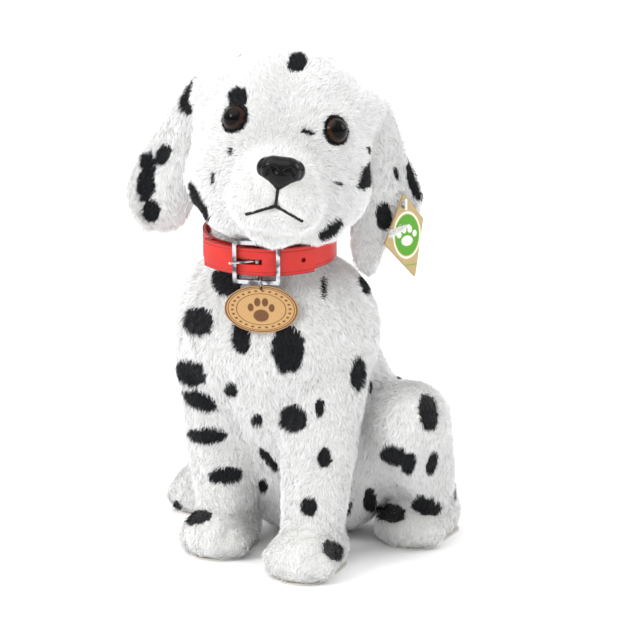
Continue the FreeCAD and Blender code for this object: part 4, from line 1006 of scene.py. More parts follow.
@dataclass(frozen=True)
class Pile:
    """Standing pile grown on a panel's backing as fine tapered strands.

    Density is strands per square millimetre, strand a width in millimetres, most the number of strands in
    one object. A lean is an angle off upright and its scatter, in degrees.
    """

    coat: Coat
    clearing: Clearing
    finish: bpy.types.Material
    density: float = 2.7
    strand: float = 0.3
    most: int = 62000
    root_lean: tuple[float, float] = (42, 8)
    tip_lean: tuple[float, float] = (76, 9)
    root_depth: float = 0.4

    def grow(self, backing: bpy.types.Object, panel: Panel, brushing: Brushing, hold: Hold,
             facing: Vector | None = None, dense: float = 1.0) -> list[bpy.types.Object]:
        """Grow the pile of one piece.

        Args:
            backing: Closed mesh the pile stands on.
            panel: Panel whose spots it carries.
            brushing: Lie and length of the pile.
            hold: What the pile moves with.
            facing: If given, only the side facing this way is covered.
            dense: Factor on the density.

        Returns:
            The pile objects, each of a limited size.
        """
        draw = np.random.default_rng(SEED_PILE + len(backing.name))
        roots, normals = self._scatter(backing, draw, dense)
        if facing is not None:
            kept = normals @ np.array(facing) > -0.25
            roots, normals = roots[kept], normals[kept]
        comb, length = brushing.lie(roots)
        comb = comb + 0.45 * Waves(3, 22.0, 60.0).slope(roots)
        comb = unit(comb - (comb * normals).sum(axis=1, keepdims=True) * normals)
        side = np.cross(normals, comb)
        swing = draw.normal(0, 0.33, len(roots))[:, None]
        comb = unit(comb * np.cos(swing) + side * np.sin(swing))
        length = length * draw.uniform(0.72, 1.12, len(roots)) * (1 + 0.14 * Waves(5, 6, 18).value(roots))
        first = np.radians(self.root_lean[0] + self.root_lean[1] * draw.normal(size=len(roots)))[:, None]
        last = np.radians(self.tip_lean[0] + self.tip_lean[1] * draw.normal(size=len(roots)))[:, None]
        clump = Waves(8, 4.0, 9.0).slope(roots)
        clump = clump - (clump * normals).sum(axis=1, keepdims=True) * normals
        half = 0.5 * length[:, None]
        middle = half * (np.cos(first) * normals + np.sin(first) * comb) + 0.25 * clump
        tip = middle + half * (np.cos(last) * normals + np.sin(last) * comb) + 0.55 * clump
        share = self.clearing.trim(roots, roots + tip)
        kept = share > 0
        roots, normals, share = roots[kept], normals[kept], share[kept, None]
        middle, tip = roots + middle[kept] * share, roots + tip[kept] * share
        for level in (middle, tip):
            level[:, 2] = np.maximum(level[:, 2], 0.4 + 0.3 * draw.random(len(level)))
        black = self.coat.tone(panel, 0.65 * roots + 0.35 * tip) + 0.05 * draw.normal(size=len(roots)) > 0
        shade = draw.beta(1.6, 2.6, len(roots)) * 0.3
        tone = np.where(black, 1.0 - shade * 1.2, shade)
        wide = unit(np.cross(tip - roots, normals + 0.5 * draw.normal(size=normals.shape)))
        wide = wide * (self.strand * draw.uniform(0.7, 1.25, len(roots)) / 2)[:, None]
        pieces = []
        order = np.argsort(roots[:, 0] * 0.31 + roots[:, 1], kind="stable")
        count = max(1, math.ceil(len(roots) / self.most))
        for number, chosen in enumerate(np.array_split(order, count), start=1):
            name = f"{backing.name}_pile" + (f"_{number}" if count > 1 else "")
            sunk = roots[chosen] - self.root_depth * normals[chosen]
            mesh = self._ribbons(name, sunk, middle[chosen], tip[chosen], wide[chosen], tone[chosen])
            mesh.materials.append(self.finish)
            item = new_object(name, mesh)
            hold.take(item)
            pieces.append(item)
        LOG.info("%s: %d strands", backing.name, len(roots))
        return pieces

    def _scatter(self, backing: bpy.types.Object, draw: np.random.Generator,
                 dense: float) -> tuple[np.ndarray, np.ndarray]:
        """Spread roots evenly over the sewn faces, with the normal at each."""
        mesh = backing.data
        points, corners = positions(mesh), triangles(mesh)
        sides = np.zeros(len(mesh.polygons), np.int32)
        mesh.polygons.foreach_get("loop_total", sides)
        owner = np.zeros(len(mesh.loop_triangles), np.int32)
        mesh.loop_triangles.foreach_get("polygon_index", owner)
        corners = corners[sides[owner] <= 4]
        normals = vertex_normals(mesh)
        a, b, c = (points[corners[:, index]] for index in range(3))
        area = np.linalg.norm(np.cross(b - a, c - a), axis=1) / 2
        floor = np.minimum.reduce([a[:, 2], b[:, 2], c[:, 2]])
        area = np.where(floor < SOLE_TOP + 0.05, area * SOLE_SHARE, area)
        total = np.cumsum(area)
        count = int(total[-1] * self.density * dense * (1.0))
        spots = (np.arange(count) + draw.random(count)) / count * total[-1]
        found = np.minimum(np.searchsorted(total, spots), len(area) - 1)
        u, v = draw.random(count), draw.random(count)
        flip = u + v > 1
        u, v = np.where(flip, 1 - u, u)[:, None], np.where(flip, 1 - v, v)[:, None]
        chosen = corners[found]
        mixed = [rows[chosen[:, 0]] * (1 - u - v) + rows[chosen[:, 1]] * u + rows[chosen[:, 2]] * v
                 for rows in (points, normals)]
        return mixed[0], unit(mixed[1])

    @staticmethod
    def _ribbons(name: str, root: np.ndarray, middle: np.ndarray, tip: np.ndarray, wide: np.ndarray,
                 tone: np.ndarray) -> bpy.types.Mesh:
        """Mesh of one tapered ribbon per strand, two faces each."""
        count = len(root)
        rows = np.stack([root - wide, root + wide, middle + 0.85 * wide, middle - 0.85 * wide, tip], axis=1)
        mesh = bpy.data.meshes.new(name)
        mesh.vertices.add(5 * count)
        mesh.vertices.foreach_set("co", (rows * MM).astype(np.float32).ravel())
        pattern = np.array([0, 1, 2, 3, 3, 2, 4])
        corners = (np.arange(count)[:, None] * 5 + pattern).ravel()
        mesh.loops.add(7 * count)
        mesh.loops.foreach_set("vertex_index", corners.astype(np.int32))
        mesh.polygons.add(2 * count)
        starts = (np.arange(count)[:, None] * 7 + np.array([0, 4])).ravel()
        mesh.polygons.foreach_set("loop_start", starts.astype(np.int32))
        chart = mesh.uv_layers.new(name="OFBake")
        across = np.array([-1, 1, 1, -1, -1, 1, 0]) * 0.008
        up = np.array([0.02, 0.02, 0.5, 0.5, 0.5, 0.5, 0.98])
        tones = np.clip(tone, 0.01, 0.99)[:, None] + across
        places = np.stack([tones, np.broadcast_to(up, (count, 7))], axis=2)
        chart.data.foreach_set("uv", places.astype(np.float32).ravel())
        mesh.update(calc_edges=True)
        mesh.shade_smooth()
        return mesh


# ---------------------------------------------------------------- the stuffed body

def wide_lobe(middle: Triple, half_width: float, radius: float) -> Lobe:
    """A lobe spread equally to both sides of its middle."""
    x, y, z = middle
    return Lobe((x - half_width, y, z), (x + half_width, y, z), radius, radius)


def toe_folds(toe: Triple, radius: float, heading: float = 0.0) -> list[Groove]:
    """Three folds between the toes round the front of a paw."""
    folds = []
    for fan in (-24.0, 0.0, 24.0):
        turn = math.radians(fan + heading)
        ahead = np.array([math.sin(turn), -math.cos(turn), 0.0])
        line = []
        for rise in range(-30, 61, 15):
            lift = math.radians(rise)
            way = math.cos(lift) * ahead + math.sin(lift) * np.array([0, 0, 1])
            line.append(tuple(np.array(toe) + radius * way))
        folds.append(Groove(tuple(line), 2.8, 2.6))
    return folds


@dataclass
class Leg:
    """A leg of the puppy: its stops from the body down and its paw, in millimetres."""

    stops: list[tuple[Triple, float]]
    heel: Triple
    toe: Triple
    heel_radius: float = 16.0
    toe_radius: float = 19.0

    def limb(self) -> list[Lobe]:
        """Lobes from the body to the wrist or ankle."""
        return [Lobe(start, end, low, high)
                for (start, low), (end, high) in zip(self.stops, self.stops[1:])]

    def paw(self) -> list[Lobe]:
        """Lobes of the paw, with four rounded toes."""
        lobes = [Lobe(self.heel, self.toe, self.heel_radius, self.toe_radius - 1.0)]
        for across, ahead in ((-12.0, 5.0), (-4.4, 9.0), (4.4, 9.0), (12.0, 5.0)):
            x, y, z = self.toe
            lobes.append(Lobe((x + across * 0.7, y, z), (x + across, y - ahead, z - 1.5), 11.0, 9.5))
        return lobes

    def naps(self, comb: Triple, length: float) -> list[Nap]:
        """Pile of the limb and, shorter and combed forward, of the paw."""
        rows = [Nap(lobe, comb, length) for lobe in self.limb()]
        return rows + [Nap(lobe, (0.0, -1.0, -0.3), 3.6) for lobe in self.paw()[:1]]


@dataclass
class Torso:
    """Trunk with the sewn-on hind legs, and the two front legs, melted together and cut at the seams."""

    chest: Triple = (-1.5, -39.0, 136.0)
    rump: Triple = (-0.5, 17.0, 55.0)
    front_legs: dict[str, Leg] = field(default_factory=lambda: {
        "left": Leg([((33.5, -47.0, 112.0), 24.0), ((33.0, -62.0, 24.0), 16.5)],
                    (33.5, -53.0, 12.0), (34.5, -78.0, 12.0)),
        "right": Leg([((-34.5, -47.0, 112.0), 24.0), ((-31.5, -44.0, 24.0), 16.5)],
                     (-31.0, -37.0, 12.0), (-30.5, -59.0, 12.0)),
    })
    hind_legs: dict[str, Leg] = field(default_factory=lambda: {
        "left": Leg([((35.5, 25.0, 58.0), 36.0), ((77.5, -19.0, 84.0), 21.0), ((69.0, 22.0, 25.5), 17.0)],
                    (67.5, 39.0, 12.0), (66.5, 9.0, 12.0)),
        "right": Leg([((-36.5, 25.0, 58.0), 36.0), ((-56.5, -3.0, 80.0), 21.0), ((-74.5, 31.0, 24.0), 17.0)],
                     (-76.5, 47.0, 12.0), (-79.5, 17.0, 12.0)),
    })
    pieces: dict[str, bpy.types.Object] = field(default_factory=dict)

    def trunk_lobes(self) -> list[Lobe]:
        """Lobes of the chest, belly, rump and neck."""
        return [wide_lobe(self.chest, 14.5, 46.5), Lobe(self.chest, self.rump, 47.0, 57.0),
                Lobe((-2.7, -43.3, 137.9), (-0.7, -47.6, 176.6), 40.0, 33.0),
                Lobe((-0.7, -47.6, 176.6), (-0.2, -48.6, 185.5), 33.0, 33.0)]

    def build(self) -> None:
        """Melt everything and cut the front legs free of the trunk."""
        trunk = self.trunk_lobes()
        for leg in self.hind_legs.values():
            trunk += leg.limb() + leg.paw()
        legs = {side: leg.limb() + leg.paw() for side, leg in self.front_legs.items()}
        grooves = []
        for leg in [*self.front_legs.values(), *self.hind_legs.values()]:
            grooves += toe_folds(leg.toe, leg.toe_radius + 6.0)
        whole = Stuffing(trunk + legs["left"] + legs["right"], grooves).melt("torso")
        mesh = whole.data
        points = positions(mesh)
        corners = [tuple(face.vertices) for face in mesh.polygons]
        middles = np.array([points[list(face)].mean(axis=0) for face in corners])
        parts = (trunk, legs["left"], legs["right"])
        owner = np.stack([nearest(part, middles) for part in parts]).argmin(axis=0)
        names = ("trunk_plush", "front_leg_left_plush", "front_leg_right_plush")
        for number, name in enumerate(names):
            own = [corners[index] for index in np.nonzero(owner == number)[0]]
            self.pieces[name] = self._panel(name, points, own)
        bpy.data.objects.remove(whole)

    @staticmethod
    def _panel(name: str, points: np.ndarray, corners: list[tuple[int, ...]]) -> bpy.types.Object:
        """One closed piece out of some of the faces, with its seam openings closed inside."""
        used = sorted({index for face in corners for index in face})
        order = {old: new for new, old in enumerate(used)}
        mesh = bpy.data.meshes.new(name)
        faces = [tuple(order[index] for index in face) for face in corners]
        mesh.from_pydata((points[used] * MM).tolist(), [], faces)
        shell = bmesh.new()
        shell.from_mesh(mesh)
        islands = [edge for edge in shell.edges if edge.is_boundary]
        bmesh.ops.holes_fill(shell, edges=islands, sides=0)
        shell.to_mesh(mesh)
        shell.free()
        mesh.shade_smooth()
        return new_object(name, mesh)

    def naps(self) -> list[Nap]:
        """Lie of the pile over trunk and legs."""
        rows = [Nap(lobe, (0.0, 0.25, -1.0), 4.8) for lobe in self.trunk_lobes()]
        for leg in self.hind_legs.values():
            rows += leg.naps((0.0, -0.25, -1.0), 4.5)
        for leg in self.front_legs.values():
            rows += leg.naps((0.0, -0.1, -1.0), 4.3)
        return rows

    def holds(self) -> dict[str, Hold]:
        """What each piece moves with; the front legs name a bend out of the trunk, which is not carried out.
        """
        holds = {"trunk_plush": Hold("trunk")}
        for side, leg in self.front_legs.items():
            x, y, _ = leg.stops[0][0]
            holds[f"front_leg_{side}_plush"] = Hold("trunk", f"front_leg_{side}", (x, y, 100.0), (x, y, 50.0))
        return holds

    def replaced(self) -> dict[str, list[str]]:
        """Frame nodes that each piece stands for."""
        nodes = {"trunk_plush": ["trunk_skin", "trunk_stuffing", "pellet_pouch"]}
        for side in ("left", "right"):
            nodes["trunk_plush"] += [f"hind_leg_{side}_skin", f"hind_leg_{side}_stuffing",
                                     f"hind_toe_stitches_{side}"]
            nodes[f"front_leg_{side}_plush"] = [f"front_leg_{side}_skin", f"front_leg_{side}_stuffing",
                                                f"front_toe_stitches_{side}"]
        return nodes


@dataclass
class Tail:
    """The tail, lying on the floor and curled to the puppy's right."""

    stops: tuple[tuple[Triple, float], ...] = (
        ((-0.5, 68.0, 29.0), 12.5), ((-1.5, 88.0, 20.0), 11.0), ((-12.5, 105.0, 13.5), 10.0),
        ((-34.5, 114.0, 11.0), 8.8), ((-58.5, 111.0, 9.0), 7.0))
    piece: bpy.types.Object | None = None

    def lobes(self) -> list[Lobe]:
        """Tapers from stop to stop."""
        return [Lobe(start, end, low, high) for (start, low), (end, high) in zip(self.stops, self.stops[1:])]

    def build(self) -> None:
        """Melt the tail."""
        self.piece = Stuffing(self.lobes(), voxel=2.0, fillet_steps=10).melt("tail_plush")

    def naps(self) -> list[Nap]:
        """Pile combed towards the tip."""
        return [Nap(lobe, tuple(unit(np.array(lobe.end) - np.array(lobe.start))), 5.0)
                for lobe in self.lobes()]


@dataclass
class Head:
    """The head: cranium, cheeks, muzzle and lips in the head's own axes, turned onto the neck."""

    middle: Triple = (10.5, -52.6, 249.0)
    yaw: float = 25.0
    roll: float = 7.0
    piece: bpy.types.Object | None = None
    nose: bpy.types.Object | None = None
    mouth: bpy.types.Object | None = None

    def axes(self) -> Matrix:
        """Turn of the head's own axes in the row frame."""
        yaw, roll = math.radians(self.yaw), math.radians(self.roll)
        return Matrix.Rotation(yaw, 3, "Z") @ Matrix.Rotation(roll, 3, "Y")

    def turned(self, local: Triple) -> Triple:
        """A point of the head's own axes in the row frame."""
        return tuple(Vector(self.middle) + self.axes() @ Vector(local))

    def lobe(self, start: Triple, end: Triple, low: float, high: float) -> Lobe:
        """A lobe given in the head's own axes."""
        return Lobe(self.turned(start), self.turned(end), low, high)

    def lobes(self) -> list[Lobe]:
        """Everything the head is stuffed out of."""
        rows = [self.lobe((-6.5, 0, 0), (6.5, 0, 0), 43.5, 43.5),
                self.lobe((-8, -10, -20), (8, -10, -20), 35, 35),
                self.lobe((0, -20, -17), (0, -47, -22.5), 29, 22.0)]
        for side in (-1, 1):
            rows.append(self.lobe((side * 9, -34, -26), (side * 8.5, -52, -27.5), 20, 15.5))
            rows.append(self.lobe((side * 26, -12, -22), (side * 20, -20, -26), 25, 22))
            rows.append(self.lobe((side * 28, 0, 14), (side * 46, 0, 22), 24, 9))
        rows.append(self.lobe((-6, 3, 13), (6, 3, 13), 37.5, 37.5))
        rows.append(self.lobe((0, -24, -36), (0, -37.5, -36), 20, 18))
        rows.append(self.lobe((-21, -21, -33), (21, -21, -33), 20.5, 20.5))
        return rows

    def local(self, point: Vector) -> Vector:
        """A point of the row frame, in millimetres, in the head's own axes."""
        return self.axes().inverted() @ (point - Vector(self.middle))

    def on_face(self, tree: BVHTree, across: float, height: float) -> Triple:
        """Point of the face straight ahead at a place across and up, in millimetres."""
        start = Vector(self.turned((across, -130, height))) * MM
        hit = tree.ray_cast(start, self.axes() @ Vector((0, 1, 0)))[0]
        return tuple(hit / MM)

    def build(self, nose: Vector) -> None:
        """Melt the head, press the lips in and sew the mouth.

        Args:
            nose: Middle of the nose in the row frame, in millimetres.
        """
        self.piece = Stuffing(self.lobes(), voxel=2.2, fillet_steps=22).melt("head_plush")
        self.nose = self.moulded_nose(nose)
        low = self.local(nose).z
        lines = [tuple((x, low - y) for x, y in MOUTH_DROP)]
        lines += [tuple((side * x, low - y) for x, y in MOUTH_CORNER) for side in (-1, 1)]
        mesh = self.piece.data
        for depth, width in ((1.7, 3.6), (1.2, 1.8)):
            tree = surface_tree(self.piece)
            points = positions(mesh)
            for line in lines:
                groove = Groove(tuple(self.on_face(tree, *place) for place in line), width, depth)
                points = groove.sink(points, vertex_normals(mesh))
            set_positions(mesh, points)
        tree = surface_tree(self.piece)
        seams = bpy.data.curves.new("mouth_seams", "CURVE")
        seams.dimensions = "3D"
        seams.bevel_depth, seams.bevel_resolution = 0.9 * MM, 3
        ahead = self.axes() @ Vector((0, -1, 0))
        for line in lines:
            spline = seams.splines.new("NURBS")
            spline.points.add(len(line) - 1)
            for knot, place in zip(spline.points, line):
                knot.co = ((Vector(self.on_face(tree, *place)) + ahead * 0.55) * MM).to_4d()
            spline.order_u, spline.use_endpoint_u = 3, True
        rope = bpy.data.objects.new("mouth_seams", seams)
        bpy.context.scene.collection.objects.link(rope)
        graph = bpy.context.evaluated_depsgraph_get()
        self.mouth = new_object("mouth_thread", bpy.data.meshes.new_from_object(rope.evaluated_get(graph)))
        bpy.data.objects.remove(rope)

    def moulded_nose(self, middle: Vector) -> bpy.types.Object:
        """The nose: a broad rounded pad that narrows to the lip, with two comma nostrils."""
        tilt = Matrix.Rotation(math.radians(-20), 3, "X")

        def place(local: Triple) -> Triple:
            """A point of the nose's own axes in the row frame."""
            return tuple(middle + self.axes() @ (tilt @ Vector(local)))

        rows = [Lobe(place((-7.2, 1.5, 2.6)), place((7.2, 1.5, 2.6)), 6.2, 6.2),
                Lobe(place((-4.2, -1.0, 2.0)), place((4.2, -1.0, 2.0)), 7.2, 7.2),
                Lobe(place((0, 0, -0.5)), place((0, 1.0, -4.4)), 7.6, 4.6)]
        folds = []
        for side in (-1, 1):
            folds.append(Groove(tuple(place((side * x, y, z)) for x, y, z in NOSTRIL), 1.15, 1.9))
        folds.append(Groove((place((0, -9, 1)), place((0, -8, -4)), place((0, -4, -9))), 0.8, 0.7))
        return Stuffing(rows, folds, voxel=0.55, fillet_steps=14).melt("nose_moulding")

    def naps(self) -> list[Nap]:
        """Lie of the pile, short over the crown and longer on the cheeks."""
        down = (0.0, 0.1, -1.0)
        return [Nap(self.lobe((-6.5, 0, 0), (6.5, 0, 0), 43.5, 43.5), down, 3.6),
                Nap(self.lobe((-8, -10, -20), (8, -10, -20), 35, 35), down, 4.6)]


@dataclass
class Ear:
    """A hanging ear of two layers, shaped like a curtain that curls at its front edge."""

    side: str
    origin: Vector
    across: Vector
    length: float = 90.0
    columns: int = 26
    rows: int = 44
    layers: dict[str, bpy.types.Object] = field(default_factory=dict)

    def axes(self) -> tuple[Vector, Vector, Vector]:
        """Across, up and outward directions of the ear."""
        up = Vector((0, 0, 1)) - self.across * self.across.z
        up.normalize()
        return self.across, up, self.across.cross(up)

    def shape(self, u: np.ndarray, v: np.ndarray) -> np.ndarray:
        """Point of the flap's middle surface; u runs front to back -1 to 1, v root to tip 0 to 1."""
        back = 1.0 if self.side == "left" else -1.0
        stops = [0, 0.25, 0.5, 0.72, 0.88, 1]
        if self.side == "left":
            middle = curve(v, stops, [-3.0, -2.0, 2.0, 4.5, 2.0, -1.0])
            half = curve(v, stops, [11.0, 12.5, 16.5, 18.5, 17.0, 14.0])
            drop, hug = 13.0 * u * v ** 3, 5.0
        else:
            middle = curve(v, stops, [-4.0, 1.0, 8.0, 12.5, 13.5, 12.0])
            half = curve(v, stops, [10.0, 11.5, 15.0, 18.0, 17.0, 14.0])
            drop, hug = -5.0 * v ** 2, 1.0
        tip = np.clip((v - 0.68) / 0.32, 0, 1)
        half = half * np.sqrt(np.clip(1 - tip ** 2.4, 0.0, 1)) + 0.4
        ease = smooth_step(v, 0.1, 0.75)
        x = middle + half * u
        y = 3.0 + drop - (self.length + 1.0) * v - 9.0 * np.clip(u, 0, 1) ** 1.5 * (1 - v) ** 2
        out = -6.5 + 13.0 * (1 - np.exp(-v / 0.2)) - 2.5 * v - hug * ease
        out = out + 7.0 * np.clip(u, 0, 1) ** 2 * ease - 9.0 * np.clip(-u, 0, 1) ** 2 * ease
        out = out + 2.6 * np.sin(2 * math.pi * (1.15 * v + 0.18)) * u * ease
        across, up, outward = (np.array(axis) for axis in self.axes())
        rows = (back * x)[..., None] * across + y[..., None] * up + out[..., None] * outward
        return rows + np.array(self.origin) / MM

    def build(self) -> None:
        """Make the furred layer and the lining as two thin closed shells."""
        u, v = np.meshgrid(np.linspace(-1, 1, self.columns), np.linspace(0, 1, self.rows))
        middle = self.shape(u, v)
        down = np.gradient(middle, axis=0)
        over = np.gradient(middle, axis=1)
        normal = unit(np.cross(down, over))
        outward = np.array(self.axes()[2])
        normal = normal * np.sign((normal @ outward).mean())
        for name, low, high in (("outer", 0.25, 1.7), ("lining", -1.7, -0.25)):
            self.layers[name] = self._shell(f"ear_{name}_{self.side}_plush", middle + low * normal,
                                            middle + high * normal)

    @staticmethod
    def _shell(name: str, under: np.ndarray, over: np.ndarray) -> bpy.types.Object:
        """Closed shell between two grids of points."""
        rows, columns = under.shape[:2]
        count = rows * columns
        points = np.concatenate([under.reshape(-1, 3), over.reshape(-1, 3)]) * MM
        grid = np.arange(count).reshape(rows, columns)
        a, b = grid[:-1, :-1].ravel(), grid[:-1, 1:].ravel()
        c, d = grid[1:, 1:].ravel(), grid[1:, :-1].ravel()
        faces = np.stack([a, b, c, d], axis=1).tolist()
        faces += (np.stack([a, d, c, b], axis=1) + count).tolist()
        loop = np.concatenate([grid[0], grid[1:, -1], grid[-1, -2::-1], grid[-2:0:-1, 0]])
        after = np.roll(loop, -1)
        faces += np.stack([loop, after, after + count, loop + count], axis=1).tolist()
        mesh = bpy.data.meshes.new(name)
        mesh.from_pydata(points.tolist(), [], faces)
        shell = bmesh.new()
        shell.from_mesh(mesh)
        bmesh.ops.recalc_face_normals(shell, faces=shell.faces)
        shell.to_mesh(mesh)
        shell.free()
        mesh.shade_smooth()
        return new_object(name, mesh)

    def hold(self) -> Hold:
        """What the ear moves with: the head, naming a bend just under its seam, which is not carried out."""
        _, up, _ = self.axes()
        start, end = self.origin / MM + up * 4.0, self.origin / MM - up * 14.0
        return Hold("head", f"ear_{self.side}", tuple(start), tuple(end))


# ---------------------------------------------------------------- the whole puppy

class Puppy:
    """Builds the pieces over the frame, dresses them and hangs those held by one body on it."""

    def __init__(self, outlook: Outlook) -> None:
        """Read the frame's joints and nodes."""
        self.outlook = outlook
        self.nodes = FRAME["nodes"]
        self.joints = {joint["name"]: joint for joint in FRAME["joints"]}
        self.torso, self.tail, self.head = Torso(), Tail(), Head()
        self.ears = [Ear(side, *self.hinge(f"ear_{side}_lift")) for side in ("left", "right")]
        self.backing = Cloth().make()

    def hinge(self, name: str) -> tuple[Vector, Vector]:
        """Place of a joint, and the reverse of its axis."""
        joint = self.joints[name]
        return Vector(joint["pos_m"]), -Vector(joint["axis"]).normalized()

    def middle(self, name: str) -> Vector:
        """Middle of the box round a node."""
        low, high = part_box(name)
        return (Vector(low) + Vector(high)) / 2

    def eye_axis(self, side: str) -> tuple[Vector, Vector]:
        """Middle of an eye's dome and the direction it looks."""
        washer, dome = self.middle(f"eye_{side}_washer"), self.middle(f"eye_{side}")
        points = positions(self.nodes[f"eye_{side}"].data)
        axis = (dome - washer).normalized()
        for _ in range(3):
            reach = points @ np.array(axis)
            top = points[reach > reach.max() - 1.2].mean(axis=0)
            axis = (Vector(top) * MM - washer).normalized()
        return Vector(top) * MM, axis

    def soft_pieces(self) -> None:
        """Form the torso, tail, head and ears."""
        self.torso.build()
        self.tail.build()
        self.head.build(self.middle("nose") / MM)
        LOG.info("torso, tail and head formed")
        for ear in self.ears:
            ear.build()
            LOG.info("%s ear formed", ear.side)

    def dress(self) -> None:
        """Dye the panels, grow the pile and hand every soft piece to its hold."""
        left, right = self.ears
        torso = list(self.torso.pieces.values())
        panels = {Panel.HEAD: [self.head.piece], Panel.TORSO: torso, Panel.TAIL: [self.tail.piece],
                  Panel.EAR_LEFT: [left.layers["outer"]], Panel.EAR_RIGHT: [right.layers["outer"]]}
        rims = [(*self.eye_axis(side), EYE_RADIUS) for side in ("left", "right")]
        coat = Coat(self.outlook, panels, rims)
        face = [self.nodes["eye_left"], self.nodes["eye_right"], self.head.nose, self.head.mouth]
        hard = [self.nodes[name] for name in ("collar_strap", "buckle_frame", "buckle_prong", "oval_tag",
                                              "tag_ring", "ear_card", "card_pin")]
        pile = Pile(coat, Clearing(hard, face), PileHair().make())
        body = Brushing(self.torso.naps())
        for name, hold in self.torso.holds().items():
            piece = self.torso.pieces[name]
            self.sew(piece, Panel.TORSO, hold, self.torso.replaced()[name], coat)
            pile.grow(piece, Panel.TORSO, body, hold)
        self.sew(self.tail.piece, Panel.TAIL, Hold("tail"), ["tail_skin", "tail_stuffing"], coat)
        pile.grow(self.tail.piece, Panel.TAIL, Brushing(self.tail.naps()), Hold("tail"))
        self.sew(self.head.piece, Panel.HEAD, Hold("head"), ["head_skin", "head_stuffing"], coat)
        brushing = Brushing(self.head.naps(), tuple(self.middle("nose") / MM))
        pile.grow(self.head.piece, Panel.HEAD, brushing, Hold("head"), None, 1.5)
        for ear in self.ears:
            panel = Panel.EAR_LEFT if ear.side == "left" else Panel.EAR_RIGHT
            _, up, outward = ear.axes()
            for layer, way, length in (("outer", outward, 4.2), ("lining", -outward, 3.0)):
                item = ear.layers[layer]
                slot = "spotted_plush" if layer == "outer" else "ear_lining"
                self.sew(item, panel, ear.hold(), [f"ear_{layer}_{ear.side}"], coat)
                nap = Nap(Lobe((0, 0, 0), (1, 0, 0), 1, 1), tuple(-up), length)
                pile.grow(item, panel, Brushing([nap]), ear.hold(), way, 1.4)

    def sew(self, item: bpy.types.Object, panel: Panel, hold: Hold, nodes: list[str], coat: Coat) -> None:
        """Dye the backing of one piece, hide the frame nodes it stands for and hand it to its hold.

        Args:
            item: The backing.
            panel: Panel whose spots it carries.
            hold: What it moves with.
            nodes: Frame nodes it stands for.
            coat: The dye pattern.
        """
        coat.dye(item, panel)
        item.data.materials.append(self.backing)
        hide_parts(*nodes)
        hold.take(item)

    def paint(self, finish: bpy.types.Material, *names: str) -> None:
        """Give frame nodes a finish."""
        for name in names:
            item = self.nodes[name]
            item.data.materials.clear()
            item.data.materials.append(finish)

    def hardware(self) -> None:
        """Finish the pieces that keep their shape from the frame."""
        for side in ("left", "right"):
            centre, axis = self.eye_axis(side)
            self.paint(EyeResin(f"eye_resin_{side}", EYE_RADIUS).make(centre, axis), f"eye_{side}")
        for item, node, slot, finish in (
                (self.head.nose, "nose", "nose_plastic", NoseVinyl().make()),
                (self.head.mouth, "mouth_stitch", "dark_thread",
                 Thread("dark_thread", srgb(30, 26, 26)).make())):
            item.data.materials.clear()
            item.data.materials.append(finish)
            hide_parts(node)
            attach(item, "head")
        sole = SolePlush().make()
        for place in ("front", "hind"):
            for side in ("left", "right"):
                self.paint(sole, f"{place}_sole_{side}")
        self.paint(Plastic("washer_plastic", srgb(225, 225, 222)).make(),
                   "eye_left_washer", "eye_right_washer", "nose_washer")
        self.paint(Plastic("clear_nylon", srgb(240, 240, 238), 0.25).make(), "card_pin")
        ring, axis = self.hinge("collar_turn")
        self.paint(Leatherette().make(ring, axis, 8.0), "collar_strap")
        self.paint(Steel().make(), "buckle_frame", "buckle_prong", "tag_ring")
        _, across = self.hinge("tag_swing")
        up = Vector((0, 0, 1))
        low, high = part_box("oval_tag")
        half = ((Vector((high.x - low.x, high.y - low.y, 0)).length / MM) / 2, (high.z - low.z) / MM / 2)
        self.paint(KraftOval().make(TagAxes(self.middle("oval_tag"), across, up), half), "oval_tag")
        hole = Vector(self.joints["card_swing"]["pos_m"])
        left = self.ears[0].axes()
        self.paint(KraftCard().make(TagAxes(hole, left[0], left[1])), "ear_card")
        LOG.info("hardware finished")


# ---------------------------------------------------------------- studio

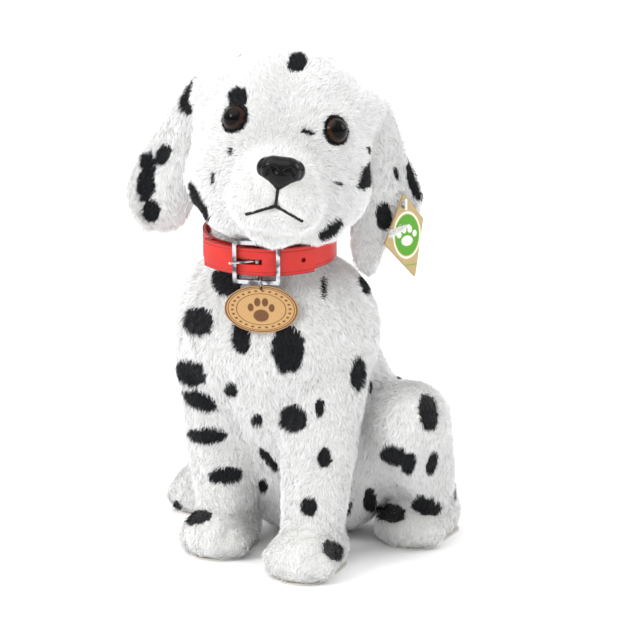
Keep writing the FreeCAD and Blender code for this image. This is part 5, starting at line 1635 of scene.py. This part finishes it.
@dataclass
class Studio:
    """Pale floor, soft lights and the camera."""

    outlook: Outlook

    def build(self) -> None:
        """Set the studio up."""
        self.floor()
        self.world()
        sky = self.light("sky_panel", "SUN", Vector((0.25, 0.45, -1.0)), 1.5)
        sky.data.angle = math.radians(70)
        lamps = (("key", (-0.7, -1.3, 1.1), 0.5, 9.0), ("rim", (1.2, 0.7, 0.9), 0.8, 6.0))
        for name, place, size, power in lamps:
            lamp = self.light(name, "AREA", Vector((0, 0, 0.14)) - Vector(place), power)
            lamp.data.size, lamp.location = size, place
        bpy.context.scene.view_settings.view_transform = "Standard"
        camera = bpy.data.cameras.new("camera")
        camera.lens, camera.sensor_width = self.outlook.lens, 36.0
        item = bpy.data.objects.new("camera", camera)
        bpy.context.scene.collection.objects.link(item)
        item.location = Vector(self.outlook.eye) * MM
        ahead = Vector(self.outlook.target) - Vector(self.outlook.eye)
        item.rotation_euler = ahead.to_track_quat("-Z", "Y").to_euler()
        bpy.context.scene.camera = item

    def floor(self) -> None:
        """A wide pale floor."""
        mesh = bpy.data.meshes.new("floor")
        mesh.from_pydata([(-30, -30, 0), (30, -30, 0), (30, 30, 0), (-30, 30, 0)], [], [(0, 1, 2, 3)])
        item = new_object("floor", mesh)
        board = Board("studio_floor")
        item.data.materials.append(board.finish(srgb(253, 253, 253), 0.95, None, Specular_IOR_Level=0.1))

    def world(self) -> None:
        """White surroundings, grey up to the horizon."""
        world = bpy.data.worlds.new("surroundings")
        world.use_nodes = True
        tree = world.node_tree
        aim = tree.nodes.new("ShaderNodeTexCoord")
        parts = tree.nodes.new("ShaderNodeSeparateXYZ")
        shade = tree.nodes.new("ShaderNodeMapRange")
        tree.links.new(aim.outputs["Generated"], parts.inputs[0])
        tree.links.new(parts.outputs[2], shade.inputs[0])
        shade.inputs[2].default_value = 0.75
        shade.inputs[3].default_value, shade.inputs[4].default_value = 0.44, 1.0
        tree.links.new(shade.outputs[0], tree.nodes["Background"].inputs[1])
        tree.nodes["Background"].inputs[0].default_value = (1.0, 1.0, 1.0, 1.0)
        bpy.context.scene.world = world

    @staticmethod
    def light(name: str, kind: str, aim: Vector, power: float) -> bpy.types.Object:
        """Add one light that shines along a direction."""
        light = bpy.data.lights.new(name, kind)
        light.energy = power
        item = bpy.data.objects.new(name, light)
        bpy.context.scene.collection.objects.link(item)
        item.rotation_euler = aim.to_track_quat("-Z", "Y").to_euler()
        return item


def main() -> None:
    """Build the camera and studio, then every piece in order."""
    logging.basicConfig(level=logging.INFO, format="%(name)s: %(message)s")
    outlook = Outlook()
    Studio(outlook).build()
    puppy = Puppy(outlook)
    puppy.soft_pieces()
    puppy.dress()
    puppy.hardware()


if __name__ == "__main__":
    main()
